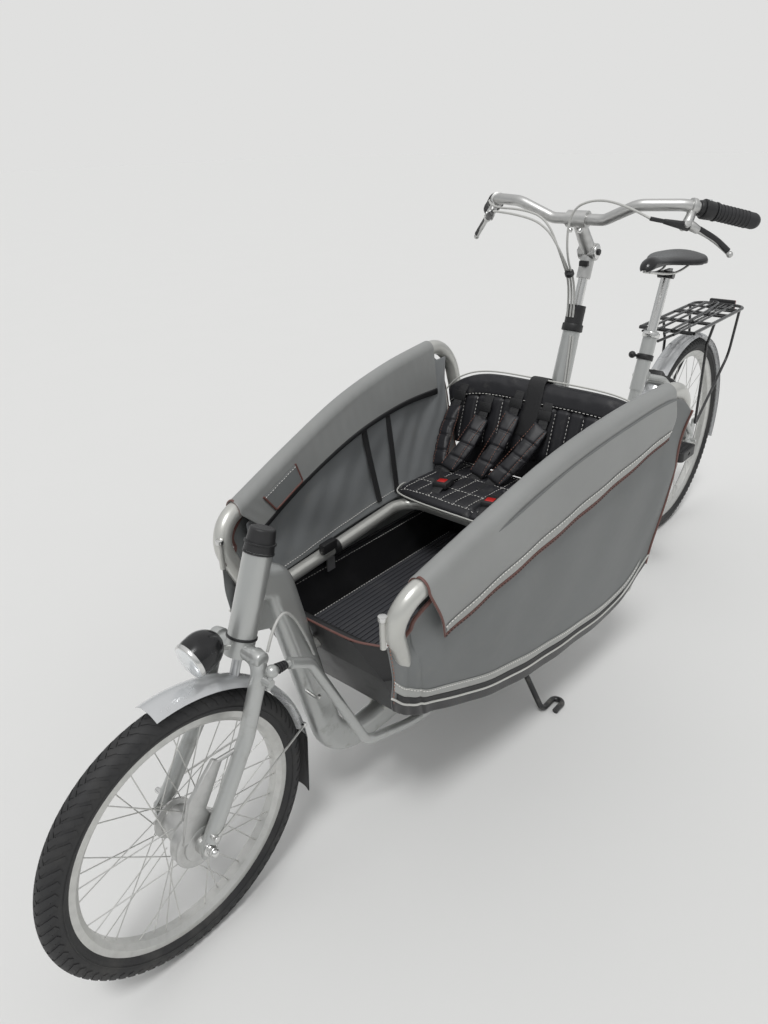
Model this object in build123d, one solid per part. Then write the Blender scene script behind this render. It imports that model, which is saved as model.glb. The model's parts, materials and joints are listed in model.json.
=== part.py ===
from build123d import *
from math import cos, pi, radians, sin
import os

os.makedirs("parts", exist_ok=True)

# A front-loading cargo bike with a cloth-sided child box, parked on its two-legged stand.
# Millimetres. +X is forward, +Y the rider's left, +Z up. The floor is z = 0.

# Wheels
wheel_base = 1990.0
front_tyre_radius = 250.0
rear_tyre_radius = 326.5
tyre_half_width = 23.5
front_rim_radius = 209.0
rear_rim_radius = 285.5
rim_depth = 19.0
rim_half_width = 15.0
tyre_seat = 0.1
guard_gap = 16.0
guard_wall = 1.6
guard_half_width = 28.0
guard_crown = 11.0
boss_radius = 8.0
rear_reach = rear_tyre_radius + guard_gap
rear_axle_x = -(wheel_base + front_tyre_radius - rear_reach) / 2
front_axle_x = rear_axle_x + wheel_base
rear_axle_z = rear_tyre_radius
front_axle_z = front_tyre_radius
spoke_radius = 1.0
spoke_pairs = 9
spoke_gap = 0.5
axle_radius = 5.0
bore_gap = 0.08

# Head tube and fork, measured along the steering axis from the lower end of the head tube
head_angle = 68.5
fork_rake = 41.9
fork_length = 328.0
head_length = 145.0
head_radius = 24.0
steerer_radius = 13.0
running_gap = 0.3
crown_top = -0.4
crown_height = 30.0
blade_radius = 13.5
blade_spread = 56.0
dropout_spread = 62.0

# Rear steering column, measured along its axis from the main tube
column_angle = 73.0
column_x = 41.0
beam_z = 168.0
housing_top = 690.0
cap_height = 38.0
lamp_reach = 78.0
lamp_drop = -14.0
lamp_radius = 32.0
lamp_depth = 62.0
housing_low_radius = 27.0
housing_top_radius = 20.0
shaft_radius = 11.0
collar_height = 60.0
collar_radius = 21.0
stem_pivot = 872.0

# Steering rod between the two arms on the left
arm_length = 80.0
rod_radius = 9.5
rod_end_radius = 10.0
ball_radius = 7.0
ball_play = 0.6
seat_play = 0.3
arm_thickness = 7.0
arm_drop = -26.0
stud_length = 20.0
stud_radius = 4.0
neck_length = 36.0
neck_radius = 6.0
arm_w = -55.0
rod_w = -8.0
quill_top = 812.0
clamp_x = -147.0
clamp_z = 1078.0
bar_radius = 12.0
bar_rise_z = 1112.0
bar_end_z = 1076.0
grip_length = 118.0
grip_radius = 16.5

# Frame
beam_half_width = 20.0
beam_half_height = 31.5
beam_top_x = 803.0
beam_top_z = 607.0
beam_low_x = 697.0
beam_rise_x = -330.0
web_thickness = 14.0
lug_y = 15.0
lug_thickness = 6.0
crank_axle_radius = 8.5
seat_clamp_z = 734.0
sleeve_z = 575.0
post_depth = 330.0
post_top_z = 872.0
saddle_lift = 24.0
rack_z = 716.0
rack_half = 80.0
rack_front = -760.0
rack_back = -1215.0
rack_leg_x = -930.0
rack_wire = 5.0
rack_leg_radius = 4.3
case_front_radius = 92.0
case_rear_radius = 52.0
case_inner = 68.5
case_width = 16.5
pedal_half_y = 44.0
pedal_length = 96.0
pedal_height = 26.0
pedal_pin_radius = 5.0
seat_angle = 70.0
bracket_x = -484.0
bracket_z = 282.0
bracket_half = 36.0
bracket_radius = 22.0
seat_tube_radius = 17.0
seat_sleeve_radius = 20.0
post_radius = 13.6
chain_stay_radius = 9.0
seat_stay_radius = 9.0
rear_spread = 58.0
dropout_thickness = 6.0
bridge_radius = 6.0
bridge_reach = rear_reach + bridge_radius + running_gap
bridge_angle = 45.6
bridge_x = rear_axle_x + bridge_reach * cos(radians(bridge_angle))
bridge_z = rear_axle_z + bridge_reach * sin(radians(bridge_angle))
crank_length = 170.0
crank_angle = 106.0
crank_y = 96.0
crank_thickness = 12.0
pedal_y = 152.0

# Box
hoop_radius = 17.5
rail_radius = 14.0
cross_radius = 12.5
cloth = 2.4
tub_wall = 3.0
tie_radius = 12.0
socket_x = 762.0
socket_y = 197.0
socket_z = 538.0
socket_length = 60.0
socket_radius = 5.5
socket_bore = 4.0
tub_rim_z = 426.0
apron_z = 500.0
rail_rear_z = 473.0
floor_z = 322.0
floor_bottom = floor_z - tub_wall
cross_z = floor_bottom - 0.3 - cross_radius
rear_cross_z = beam_z + beam_half_height + cross_radius
rail_bend_x = 215.0
rail_front_x = 690.0
rail_front_z = 441.0
tie_x = 760.0
seat_front = 262.0
seat_back = -24.0
seat_half = 235.0
seat_z = 487.4
seat_thickness = 26.0
back_gap = 24.4
back_thickness = 38.6

# Stand
stand_x = 140.0
stand_z = 122.0
stand_wire = 7.0
stand_foot_y = 184.0

nodes = {}


def inclined(x, z, angle):
    """Plane square to an axis that leans back: its normal points up along the axis."""
    a = radians(angle)
    return Plane(origin=(x, 0, z), x_dir=(sin(a), 0, cos(a)), z_dir=(-cos(a), 0, sin(a)))


def pipe(points, radius, bends=None):
    """Round bar along straight runs, each corner an arc of its own radius."""
    if len(points) == 2:
        path = Line(*points)
    else:
        path = FilletPolyline(*points, radius=bends)
    return sweep(Plane(origin=path @ 0, z_dir=path % 0) * Circle(radius), path=path)


def rod(start, end, radius):
    """Straight round bar between two points."""
    start, end = Vector(*start), Vector(*end)
    line = end - start
    return Plane(origin=start, z_dir=line) * Cylinder(
        radius, line.length, align=(Align.CENTER, Align.CENTER, Align.MIN))


def cone(start, end, first, last):
    """Tapered round bar between two points."""
    start, end = Vector(*start), Vector(*end)
    line = end - start
    return Plane(origin=start, z_dir=line) * Cone(
        first, last, line.length, align=(Align.CENTER, Align.CENTER, Align.MIN))


def turned(points, x, z):
    """Solid turned about a wheel axle at x, z from (y, r) points."""
    outline = make_face(Polyline(*[(x, y, z + r) for y, r in points], close=True))
    return revolve(outline, axis=Axis((x, 0, z), (0, 1, 0)))


def slab(points, y, thickness):
    """Flat plate of an (x, z) outline, centred on y."""
    face = make_face(Polyline(*[(px, y - thickness / 2, pz) for px, pz in points], close=True))
    return extrude(face, amount=thickness, dir=(0, 1, 0))


def keep(name, shape):
    nodes[name] = shape


head = inclined(
    front_axle_x - fork_rake * sin(radians(head_angle)) - fork_length * cos(radians(head_angle)),
    front_axle_z - fork_rake * cos(radians(head_angle)) + fork_length * sin(radians(head_angle)),
    head_angle)
column = inclined(column_x, beam_z, column_angle)


def on(plane, u, y, w):
    """Point at u forward, y left and w up along an inclined axis."""
    return plane.from_local_coords(Vector(u, y, w))


# Wheels
def tyre(x, radius, rim):
    centre = radius - tyre_half_width
    seat = rim + tyre_seat
    half = (tyre_half_width ** 2 - (centre - seat) ** 2) ** 0.5
    low_left = (x, -half, radius + seat)
    low_right = (x, half, radius + seat)
    crown = ThreePointArc(low_left, (x, 0, 2 * radius), low_right)
    outline = make_face(crown + Line(low_right, low_left))
    return revolve(outline, axis=Axis((x, 0, radius), (0, 1, 0)))


def rim(x, radius, z):
    inner = radius - rim_depth
    half = rim_half_width
    return turned([(-half, radius), (-half, radius - 11), (-half * 0.55, inner),
                   (half * 0.55, inner), (half, radius - 11), (half, radius)], x, z)


def spokes(x, z, rim_radius, flanges):
    """Spokes crossed in pairs between the hub flanges and the rim, each clear of its neighbours."""
    reach = rim_radius - rim_depth - spoke_gap
    wires = []
    count = 2 * spoke_pairs
    for side, (flange_y, flange_radius) in ((1, flanges[0]), (-1, flanges[1])):
        for index in range(count):
            lean = 1 if index % 2 else -1
            hub_angle = 2 * pi * (index + (0.5 if side > 0 else 0)) / count
            rim_angle = hub_angle + lean * radians(38)
            start_y = side * (flange_y + lean * 2.4)
            start = (x + flange_radius * cos(hub_angle), start_y, z + flange_radius * sin(hub_angle))
            end = (x + reach * cos(rim_angle), side * 3.0, z + reach * sin(rim_angle))
            wires.append(rod(start, end, spoke_radius))
    return Compound(wires)


def front_wheel():
    x, z, bore = front_axle_x, front_axle_z, axle_radius + bore_gap
    keep("front_tyre", tyre(x, front_tyre_radius, front_rim_radius))
    keep("front_rim", rim(x, front_rim_radius, z))
    keep("front_hub", turned(
        [(-46, bore), (-46, 11), (-40, 17), (-34, 36), (-31, 36), (-28, 27), (10, 29), (15, 40),
         (24, 46), (42, 46), (44, 42), (44, bore)], x, z))
    keep("front_spokes", spokes(x, z, front_rim_radius, ((19.5, 46.8), (32.5, 36.8))))


def rear_wheel():
    x, z, bore = rear_axle_x, rear_axle_z, axle_radius + bore_gap
    keep("rear_tyre", tyre(x, rear_tyre_radius, rear_rim_radius))
    keep("rear_rim", rim(x, rear_rim_radius, z))
    keep("rear_hub", turned(
        [(-46, bore), (-46, 24), (-36, 40), (-32, 40), (-30, 34), (24, 34), (26, 44),
         (30, 47), (42, 47), (44, 40), (44, bore)], x, z))
    keep("rear_spokes", spokes(x, z, rear_rim_radius, ((27.0, 47.8), (34.0, 40.8))))


def guard(x, radius, first, last):
    """Arched mudguard shell between two angles, measured from straight ahead, upwards."""
    outer = radius + guard_gap
    half = guard_half_width
    outside = ThreePointArc((x, -half, outer - guard_crown), (x, 0, outer), (x, half, outer - guard_crown))
    inside = ThreePointArc((x, -half + guard_wall, outer - guard_crown), (x, 0, outer - guard_wall),
                           (x, half - guard_wall, outer - guard_crown))
    edges = (outside + inside
             + Line((x, -half, outer - guard_crown), (x, -half + guard_wall, outer - guard_crown))
             + Line((x, half, outer - guard_crown), (x, half - guard_wall, outer - guard_crown)))
    section = Pos(0, 0, radius) * make_face(edges)
    axis = Axis((x, 0, radius), (0, -1, 0))
    shell = revolve(section, axis=axis, revolution_arc=last - first)
    return shell.rotate(axis, first - 90)


# Fork, steered with the front wheel
def fork_parts():
    fork = head * Pos(0, 0, crown_top - crown_height) * Cylinder(
        head_radius, crown_height, align=(Align.CENTER, Align.CENTER, Align.MIN))
    fork += head * Pos(0, 0, crown_top - 1) * Cylinder(
        steerer_radius, head_length - crown_top + 1 + running_gap, align=(Align.CENTER, Align.CENTER, Align.MIN))
    for side in (1, -1):
        fork += pipe([on(head, 2, side * 10, crown_top - 16), on(head, 2, side * blade_spread, crown_top - 20),
                      on(head, 2, side * blade_spread, -150),
                      on(head, fork_rake, side * dropout_spread, -fork_length + 12)],
                     blade_radius, [26, 90])
        fork += slab([(front_axle_x - 14, front_axle_z - 14), (front_axle_x + 14, front_axle_z - 14),
                      (front_axle_x + 14, front_axle_z + 16), (front_axle_x - 6, front_axle_z + 34),
                      (front_axle_x - 18, front_axle_z + 30)],
                     side * dropout_spread, dropout_thickness)
    lug_w = arm_drop - stud_length
    fork += rod(on(head, 2, blade_spread, lug_w), on(head, 0, arm_length + 5, lug_w), arm_thickness)
    fork += rod(on(head, 0, arm_length, lug_w - 12), on(head, 0, arm_length, arm_drop), stud_radius)
    fork += rod((front_axle_x, -dropout_spread - 14, front_axle_z),
                (front_axle_x, dropout_spread + 14, front_axle_z), axle_radius)
    fork += Pos(*on(head, 0, arm_length, arm_drop)) * Sphere(ball_radius)
    keep("fork", fork)
    cap = head * Pos(0, 0, head_length + running_gap) * Cone(
        head_radius + 1, head_radius - 3, cap_height, align=(Align.CENTER, Align.CENTER, Align.MIN))
    keep("head_cap", fillet(cap.edges().sort_by(Axis.Z)[-1], 4))
    boss = head * Pos(0, 0, crown_top - crown_height - running_gap) * Cylinder(
        boss_radius, 50, align=(Align.CENTER, Align.CENTER, Align.MAX))
    under = rod((front_axle_x, -50, front_axle_z), (front_axle_x, 50, front_axle_z),
                front_tyre_radius + guard_gap - guard_wall / 2)
    keep("front_mudguard", guard(front_axle_x, front_tyre_radius, 84, 176) + (boss - under))
    lamp_at = on(head, lamp_reach, 0, lamp_drop)
    lamp = Plane(origin=lamp_at, z_dir=(1, 0, -0.25)) * Pos(0, 0, -lamp_depth / 2) * Cone(
        lamp_radius * 0.72, lamp_radius, lamp_depth, align=(Align.CENTER, Align.CENTER, Align.MIN))
    keep("head_lamp", lamp)
    bracket = rod(on(head, head_radius - 4, 0, crown_top - 14), on(head, lamp_reach, 0, lamp_drop), 4)
    keep("lamp_bracket", bracket - fork - lamp)


# Head tube, main beam and column housing
def frame_parts():
    tube = head * Cylinder(head_radius, head_length, align=(Align.CENTER, Align.CENTER, Align.MIN))
    solid_head = tube
    bore = head * Cylinder(steerer_radius + running_gap, head_length,
                           align=(Align.CENTER, Align.CENTER, Align.MIN))
    web = slab([(on(head, 0, 0, 8).X, on(head, 0, 0, 8).Z), (on(head, 0, 0, 104).X, on(head, 0, 0, 104).Z),
                (beam_top_x - 6, beam_top_z + 18), (beam_top_x - 10, beam_top_z - 90)], 0, web_thickness)
    keep("head_tube", tube - bore)
    path = FilletPolyline(
        (on(head, 0, 0, 92).X, 0, on(head, 0, 0, 92).Z), (beam_top_x, 0, beam_top_z), (beam_low_x, 0, beam_z),
        (beam_rise_x, 0, beam_z), (bracket_x, 0, bracket_z), radius=[34, 110, 120])
    section = Plane(origin=path @ 0, x_dir=(0, 1, 0), z_dir=path % 0) * SlotOverall(
        2 * beam_half_height, 2 * beam_half_width, rotation=90)
    solid_beam = sweep(section, path=path)
    housing = column * Pos(0, 0, -38) * Cone(
        housing_low_radius + 2, housing_top_radius, housing_top + 38, align=(Align.CENTER, Align.CENTER, Align.MIN))
    column_bore = column * Pos(0, 0, -120) * Cylinder(
        shaft_radius + running_gap, housing_top + 140, align=(Align.CENTER, Align.CENTER, Align.MIN))
    shell = rod((bracket_x, -bracket_half, bracket_z), (bracket_x, bracket_half, bracket_z), bracket_radius)
    beam = solid_beam + web - solid_head - column_bore - shell
    for side in (1, -1):
        beam += slab([(stand_x - 18, beam_z - beam_half_height + 12), (stand_x - 16, stand_z - 4),
                      (stand_x - 9, stand_z - 13), (stand_x + 9, stand_z - 13), (stand_x + 16, stand_z - 4),
                      (stand_x + 18, beam_z - beam_half_height + 12)], side * lug_y, lug_thickness)
    beam -= rod((stand_x, -40, stand_z), (stand_x, 40, stand_z), stand_wire + running_gap)
    keep("main_beam", beam)
    housing = housing - solid_beam - column_bore
    housing = housing.solids().sort_by(SortBy.VOLUME)[-1]
    keep("column_housing", housing)

    seat = inclined(bracket_x, bracket_z, seat_angle)
    tube_top = (seat_clamp_z - bracket_z) / sin(radians(seat_angle))
    sleeve_low = (sleeve_z - bracket_z) / sin(radians(seat_angle))
    rear = shell
    rear += seat * Cylinder(seat_tube_radius, tube_top, align=(Align.CENTER, Align.CENTER, Align.MIN))
    rear += seat * Pos(0, 0, sleeve_low) * Cylinder(
        seat_sleeve_radius, tube_top - sleeve_low, align=(Align.CENTER, Align.CENTER, Align.MIN))
    mid = on(seat, 0, 0, sleeve_low + 42)
    rear += cone((mid.X, 0, mid.Z), (mid.X - 44, 0, mid.Z - 10), 21, 15)
    for side in (1, -1):
        rear += pipe([(bracket_x - 4, side * 26, bracket_z + 3), (bracket_x - 110, side * 42, bracket_z + 12),
                      (rear_axle_x + 16, side * rear_spread, rear_axle_z - 2)], chain_stay_radius, [160])
        rear += pipe([(mid.X - 34, side * 4, mid.Z - 8), (mid.X - 66, side * 44, mid.Z - 18),
                      (mid.X - 190, side * 50, mid.Z - 110), (rear_axle_x + 6, side * rear_spread, rear_axle_z + 22)],
                     seat_stay_radius, [28, 130])
        rear += slab([(rear_axle_x - 16, rear_axle_z - 16), (rear_axle_x + 36, rear_axle_z - 12),
                      (rear_axle_x + 40, rear_axle_z + 10), (rear_axle_x + 20, rear_axle_z + 36),
                      (rear_axle_x + 10, rear_axle_z + 74), (rear_axle_x - 10, rear_axle_z + 74),
                      (rear_axle_x - 14, rear_axle_z + 34)], side * rear_spread, dropout_thickness)
    rear += rod((bridge_x, -50, bridge_z), (bridge_x, 50, bridge_z), bridge_radius)
    rear += rod((rear_axle_x, -rear_spread - 5, rear_axle_z), (rear_axle_x, rear_spread + 18, rear_axle_z), axle_radius)
    rear -= rod((bracket_x, -60, bracket_z), (bracket_x, 60, bracket_z), crank_axle_radius + running_gap)
    rear -= seat * Pos(0, 0, post_depth) * Cylinder(
        post_radius + 0.05, 400, align=(Align.CENTER, Align.CENTER, Align.MIN))
    keep("rear_frame", rear)
    post_top = (post_top_z - bracket_z) / sin(radians(seat_angle))
    keep("seat_post", seat * Pos(0, 0, post_depth + 0.2) * Cylinder(
        post_radius, post_top - post_depth, align=(Align.CENTER, Align.CENTER, Align.MIN)))
    keep("rear_mudguard", guard(rear_axle_x, rear_tyre_radius, -12, 196))


def saddle():
    top = on(inclined(bracket_x, bracket_z, seat_angle), 0, 0,
             (post_top_z - bracket_z) / sin(radians(seat_angle)) + 0.5)
    x, z = top.X, top.Z + saddle_lift
    outline = make_hull((Pos(x + 138, 0) * Circle(20)).edges() + (Pos(x + 60, 0) * Circle(28)).edges()
                        + (Pos(x - 72, 48) * Circle(38)).edges() + (Pos(x - 72, -48) * Circle(38)).edges())
    body = extrude(Pos(0, 0, z + 0.3) * outline, 46)
    body = fillet(body.edges().group_by(Axis.Z)[-1], 16)
    keep("saddle", body)
    keep("saddle_clamp", rod((top.X, -22, top.Z + 10.4), (top.X, 22, top.Z + 10.4), 10)
         + Pos(top.X, 0, top.Z + saddle_lift / 2 + 5) * Box(60, 12, saddle_lift - 10))


def rack():
    z, half, back, front = rack_z, rack_half, rack_back, rack_front
    frame = pipe([(front, half, z), (back, half, z), (back, -half, z), (front, -half, z)], rack_wire, [40, 40])
    for x in (front + 8, front - 150, front - 290):
        frame += rod((x, -half, z), (x, half, z), rack_wire - 1)
    for y in (-26, 26):
        frame += rod((front + 8, y, z), (back, y, z), rack_wire - 1.5)
    for side in (1, -1):
        y = side * (rear_spread + dropout_thickness / 2 + rack_wire + 0.2)
        frame += pipe([(rack_leg_x, side * half, z), (rack_leg_x - 2, y, z - 70), (rear_axle_x + 5, y, rear_axle_z + 60)],
                      rack_leg_radius, [60])
        frame += pipe([(back + 60, side * half, z), (back + 50, y, z - 150), (rear_axle_x - 5, y, rear_axle_z + 63)],
                      rack_leg_radius, [60])
        seat = on(inclined(bracket_x, bracket_z, seat_angle), 0, 0,
                  (seat_clamp_z - 30 - bracket_z) / sin(radians(seat_angle)))
        frame += rod((seat.X - seat_sleeve_radius - 9, side * 14, seat.Z), (front + 8, side * 40, z), rack_wire - 1)
    keep("rear_rack", frame)
    lamp = Pos(back - rack_wire - 10.2, 0, z - 6) * Box(20, 84, 40)
    keep("rear_lamp", fillet(lamp.edges().filter_by(Axis.X), 10))


def chain_case():
    big = Pos(bracket_x, bracket_z) * Circle(case_front_radius)
    small = Pos(rear_axle_x, rear_axle_z) * Circle(case_rear_radius)
    outline = make_hull(big.edges() + small.edges())
    case = extrude(Plane.XZ.offset(case_inner) * outline, amount=case_width)
    case -= rod((bracket_x, -case_inner - 60, bracket_z), (bracket_x, -case_inner + 20, bracket_z),
                crank_axle_radius + 0.6)
    keep("chain_case", case)


def cranks():
    x, z = bracket_x, bracket_z
    axle = rod((x, -crank_y, z), (x, crank_y, z), crank_axle_radius)
    for side, angle in ((1, crank_angle), (-1, crank_angle + 180)):
        a = radians(angle)
        px, pz = x + crank_length * cos(a), z + crank_length * sin(a)
        y = side * crank_y
        arm = cone((x, y, z), (px, y, pz), 12, 9.5)
        arm &= Pos(x, y, z) * Box(600, crank_thickness, 600)
        arm += rod((x, y - crank_thickness / 2, z), (x, y + crank_thickness / 2, z), 17)
        arm += rod((px, y - crank_thickness / 2, pz), (px, y + crank_thickness / 2, pz), 13)
        axle += arm
        axle += rod((px, y, pz), (px, side * (pedal_y + pedal_half_y - 6), pz), pedal_pin_radius)
        name = "pedal_left" if side > 0 else "pedal_right"
        body = Pos(px, side * pedal_y, pz) * Box(pedal_length, 2 * pedal_half_y, pedal_height)
        body = fillet(body.edges().filter_by(Axis.Z), 12)
        body -= rod((px, 0, pz), (px, side * 400, pz), pedal_pin_radius + running_gap)
        keep(name, body)
    keep("crankset", axle)


# Handlebar, column and lower arm
def steering():
    shaft = column * Pos(0, 0, arm_w) * Cylinder(
        shaft_radius, quill_top - arm_w, align=(Align.CENTER, Align.CENTER, Align.MIN))
    shaft += rod(on(column, 0, 0, arm_w + 5), on(column, 0, arm_length, arm_w + 5), arm_thickness)
    ball = rear_ball()
    shaft += rod(on(column, 0, arm_length, arm_w + 5), ball, 5)
    shaft += Pos(*ball) * Sphere(ball_radius)
    keep("steering_shaft", shaft)
    collar = column * Pos(0, 0, housing_top + running_gap) * Cylinder(
        collar_radius, collar_height, align=(Align.CENTER, Align.CENTER, Align.MIN))
    collar -= column * Cylinder(shaft_radius + 0.05, quill_top, align=(Align.CENTER, Align.CENTER, Align.MIN))
    keep("column_collar", collar)
    stem = column * Pos(0, 0, quill_top + 0.1) * Cylinder(
        16, stem_pivot - quill_top, align=(Align.CENTER, Align.CENTER, Align.MIN))
    pivot = on(column, 0, 0, stem_pivot)
    clamp = Vector(clamp_x, 0, clamp_z)
    stem += rod((pivot.X, -19, pivot.Z), (pivot.X, 19, pivot.Z), 19)
    stem += cone(pivot, clamp, 17, 14)
    stem += rod((clamp.X, -24, clamp.Z), (clamp.X, 24, clamp.Z), bar_radius + 6)
    stem -= rod((clamp.X, -60, clamp.Z), (clamp.X, 60, clamp.Z), bar_radius + 0.05)
    keep("stem", stem)
    left = [(clamp_x, 0, clamp_z), (clamp_x, 62, clamp_z), (clamp_x + 14, 140, bar_rise_z),
            (clamp_x - 26, 225, bar_rise_z), (clamp_x - 140, 322, bar_end_z)]
    right = [(x, -y, z) for x, y, z in left[:0:-1]]
    bar = pipe(right + [(clamp_x, 62, clamp_z)] + left[2:], bar_radius, [60, 40, 40, 40, 40, 60])
    keep("handlebar", bar)
    for side, name in ((1, "grip_left"), (-1, "grip_right")):
        inner, outer = [Vector(x, side * y, z) for x, y, z in left[-2:]]
        line = (outer - inner).normalized()
        start = outer - line * grip_length
        grip = rod(start, outer + line * 3, grip_radius)
        keep(name, grip - rod(start - line * 20, outer, bar_radius + 0.05))


def rear_ball():
    return on(column, 0, arm_length, rod_w)


def tie_rod():
    front = on(head, 0, arm_length, arm_drop)
    back = rear_ball()
    socket = ball_radius + ball_play
    points = [(front.X - neck_length, arm_length, front.Z - 6), (812, arm_length, front.Z - 31), (687, arm_length, 226),
              (540, arm_length, back.Z + 14), (back.X + 16, arm_length, back.Z)]
    bar = pipe(points, rod_radius, [30, 60, 300])
    bar += Pos(*front) * Sphere(rod_end_radius + ball_play)
    bar += rod(front, points[0], neck_radius)
    bar += Pos(*back) * Sphere(rod_end_radius + seat_play)
    bar += rod(back, points[-1], 7)
    bar -= Pos(*front) * Sphere(socket)
    bar -= Pos(*back) * Sphere(ball_radius + seat_play)
    bar -= rod(front, on(head, 0, arm_length, arm_drop - stud_length), stud_radius + 3 * ball_play)
    bar -= rod(back, on(column, 0, arm_length, rod_w - 40), 5 + ball_play + 1)
    keep("tie_rod", bar)


# Child box
def hoop_points(side):
    return [(700, side * 188, 447), (766, side * 213, 606), (318, side * 268, 755), (-92, side * 314, 780),
            (-140, side * 245, 360), (-140, side * 214, rear_cross_z)]


hoop_bends = [58, 1500, 88, 200]


def hoop(side):
    """Bent tube over one side of the box, with the small socket for a rain cover's pole."""
    tube = pipe(hoop_points(side), hoop_radius, hoop_bends)
    low = Vector(socket_x, side * socket_y, socket_z)
    top = low + Vector(0, 0, socket_length)
    tube += rod(low, top, socket_radius)
    return tube - rod(low, top, socket_bore)


def box_parts():
    left, right = hoop(1), hoop(-1)
    keep("hoop_left", left)
    keep("hoop_right", right)
    cross = rod((rail_front_x, -190, rail_front_z), (rail_front_x, 190, rail_front_z), rail_radius)
    cross += rod((rail_front_x, 0, rail_front_z), (tie_x, 0, rail_front_z), tie_radius)
    for side, name in ((1, "left"), (-1, "right")):
        rail = pipe([(rail_front_x, side * 190, rail_front_z), (rail_bend_x, side * 205, rail_rear_z),
                     (rail_bend_x, 0, rail_rear_z)], rail_radius, [60])
        keep("box_rail_" + name, rail - left - right)
        cross -= rail
    cross = cross - nodes["main_beam"] - left - right
    keep("front_cross", cross.solids().sort_by(SortBy.VOLUME)[-1])
    keep("rear_cross", rod((-140, -214, rear_cross_z), (-140, 214, rear_cross_z), cross_radius)
         - nodes["main_beam"] - left - right)
    floor_crosses = []
    for x in (560, 330, 90):
        bar = rod((x, -185, cross_z), (x, 185, cross_z), cross_radius)
        for side in (1, -1):
            bar += rod((x, side * 14, beam_z + 20), (x, side * 120, cross_z), 8)
        floor_crosses.append(bar - nodes["main_beam"])
    keep("floor_crosses", Compound(floor_crosses))


def tub():
    """Open vinyl tub: a straight-sided lower part and a bowed apron in front."""
    def layer(z, inset, rows):
        points = [(x - inset if i else x + inset, y - inset) for i, (x, y) in enumerate(rows)]
        outline = points + [(x, -y) for x, y in points[::-1]]
        return Plane.XY.offset(z) * make_face(Polyline(*outline, close=True))
    low = [(32, 196), (600, 196), (672, 150)]
    top = [(0, 203), (640, 203), (719, 158)]
    def body(inset, base):
        return loft([layer(base, inset, low), layer(tub_rim_z, inset, top)], ruled=True)
    shell = body(0, floor_bottom) - body(tub_wall, floor_z)
    def strip(z, rows):
        points = rows + [(x - tub_wall, y) for x, y in rows[::-1]]
        return Plane.XY.offset(z) * make_face(Polyline(*points, close=True))
    shell += loft([strip(tub_rim_z, [(708, 166), (719, 157), (719, -157), (708, -166)]),
                   strip(apron_z, [(716, 170), (744, 110), (744, -110), (716, -170)])], ruled=True)
    keep("tub", shell - rod((600, 0, rail_front_z), (tie_x, 0, rail_front_z), tie_radius + 0.4))
    keep("floor_mat", Pos(325, 0, floor_z + 0.3 + 2) * Box(550, 370, 4))


def side_panel(side):
    """Cloth side: slanted sections from the hoop down to the hem, outside the tub."""
    rows = [((752, 226, 522), (692, 178, 343)), ((668, 238, 610), (600, 208, 318)),
            ((318, 284, 716), (332, 228, 248)), ((-47, 326, 746), (-24, 230, 216)),
            ((-84, 332, 722), (-138, 262, 305))]
    sections = []
    for top, low in rows:
        points = [(top[0], side * top[1], top[2]), (low[0], side * low[1], low[2]),
                  (low[0], side * (low[1] - cloth), low[2]), (top[0], side * (top[1] - cloth), top[2])]
        sections.append(make_face(Polyline(*points, close=True)))
    return loft(sections, ruled=True)


def bench():
    seat = Pos((seat_front + seat_back) / 2, 0, seat_z + seat_thickness / 2) * Box(
        seat_front - seat_back, 2 * seat_half, seat_thickness)
    keep("bench_seat", fillet(seat.edges().filter_by(Axis.Z).group_by(Axis.X)[-1], 40))
    wall = Plane(origin=on(column, back_gap, 0, 0), x_dir=(0, 1, 0), z_dir=column.x_dir)
    half = [(236, 366), (290, 505), (255, 556), (130, 573)]
    outline = make_face(Polyline(*([(-y, w) for y, w in half] + [(y, w) for y, w in half[::-1]]), close=True))
    keep("bench_back", extrude(wall * outline, amount=back_thickness, dir=column.x_dir))


def stand():
    shape = rod((stand_x, -44, stand_z), (stand_x, 44, stand_z), stand_wire)
    for side in (1, -1):
        shape += pipe([(stand_x, side * 38, stand_z), (stand_x + 14, side * 92, stand_z - 12),
                       (stand_x + 34, side * (stand_foot_y - 6), stand_wire),
                       (stand_x - 20, side * (stand_foot_y - 6), stand_wire),
                       (stand_x - 28, side * (stand_foot_y + 20), stand_wire),
                       (stand_x + 18, side * (stand_foot_y + 20), stand_wire)], stand_wire, [20, 12, 12, 12])
    keep("stand", shape)


frame_parts()
fork_parts()
front_wheel()
rear_wheel()
saddle()
rack()
chain_case()
cranks()
steering()
tie_rod()
box_parts()
tub()
keep("side_panel_left", side_panel(1))
keep("side_panel_right", side_panel(-1))
bench()
stand()

for name, shape in nodes.items():
    export_step(shape, "parts/" + name + ".step")
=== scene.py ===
import bpy
import json
from math import cos, exp, pi, radians, sin, sqrt
from mathutils import Matrix, Vector


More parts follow.
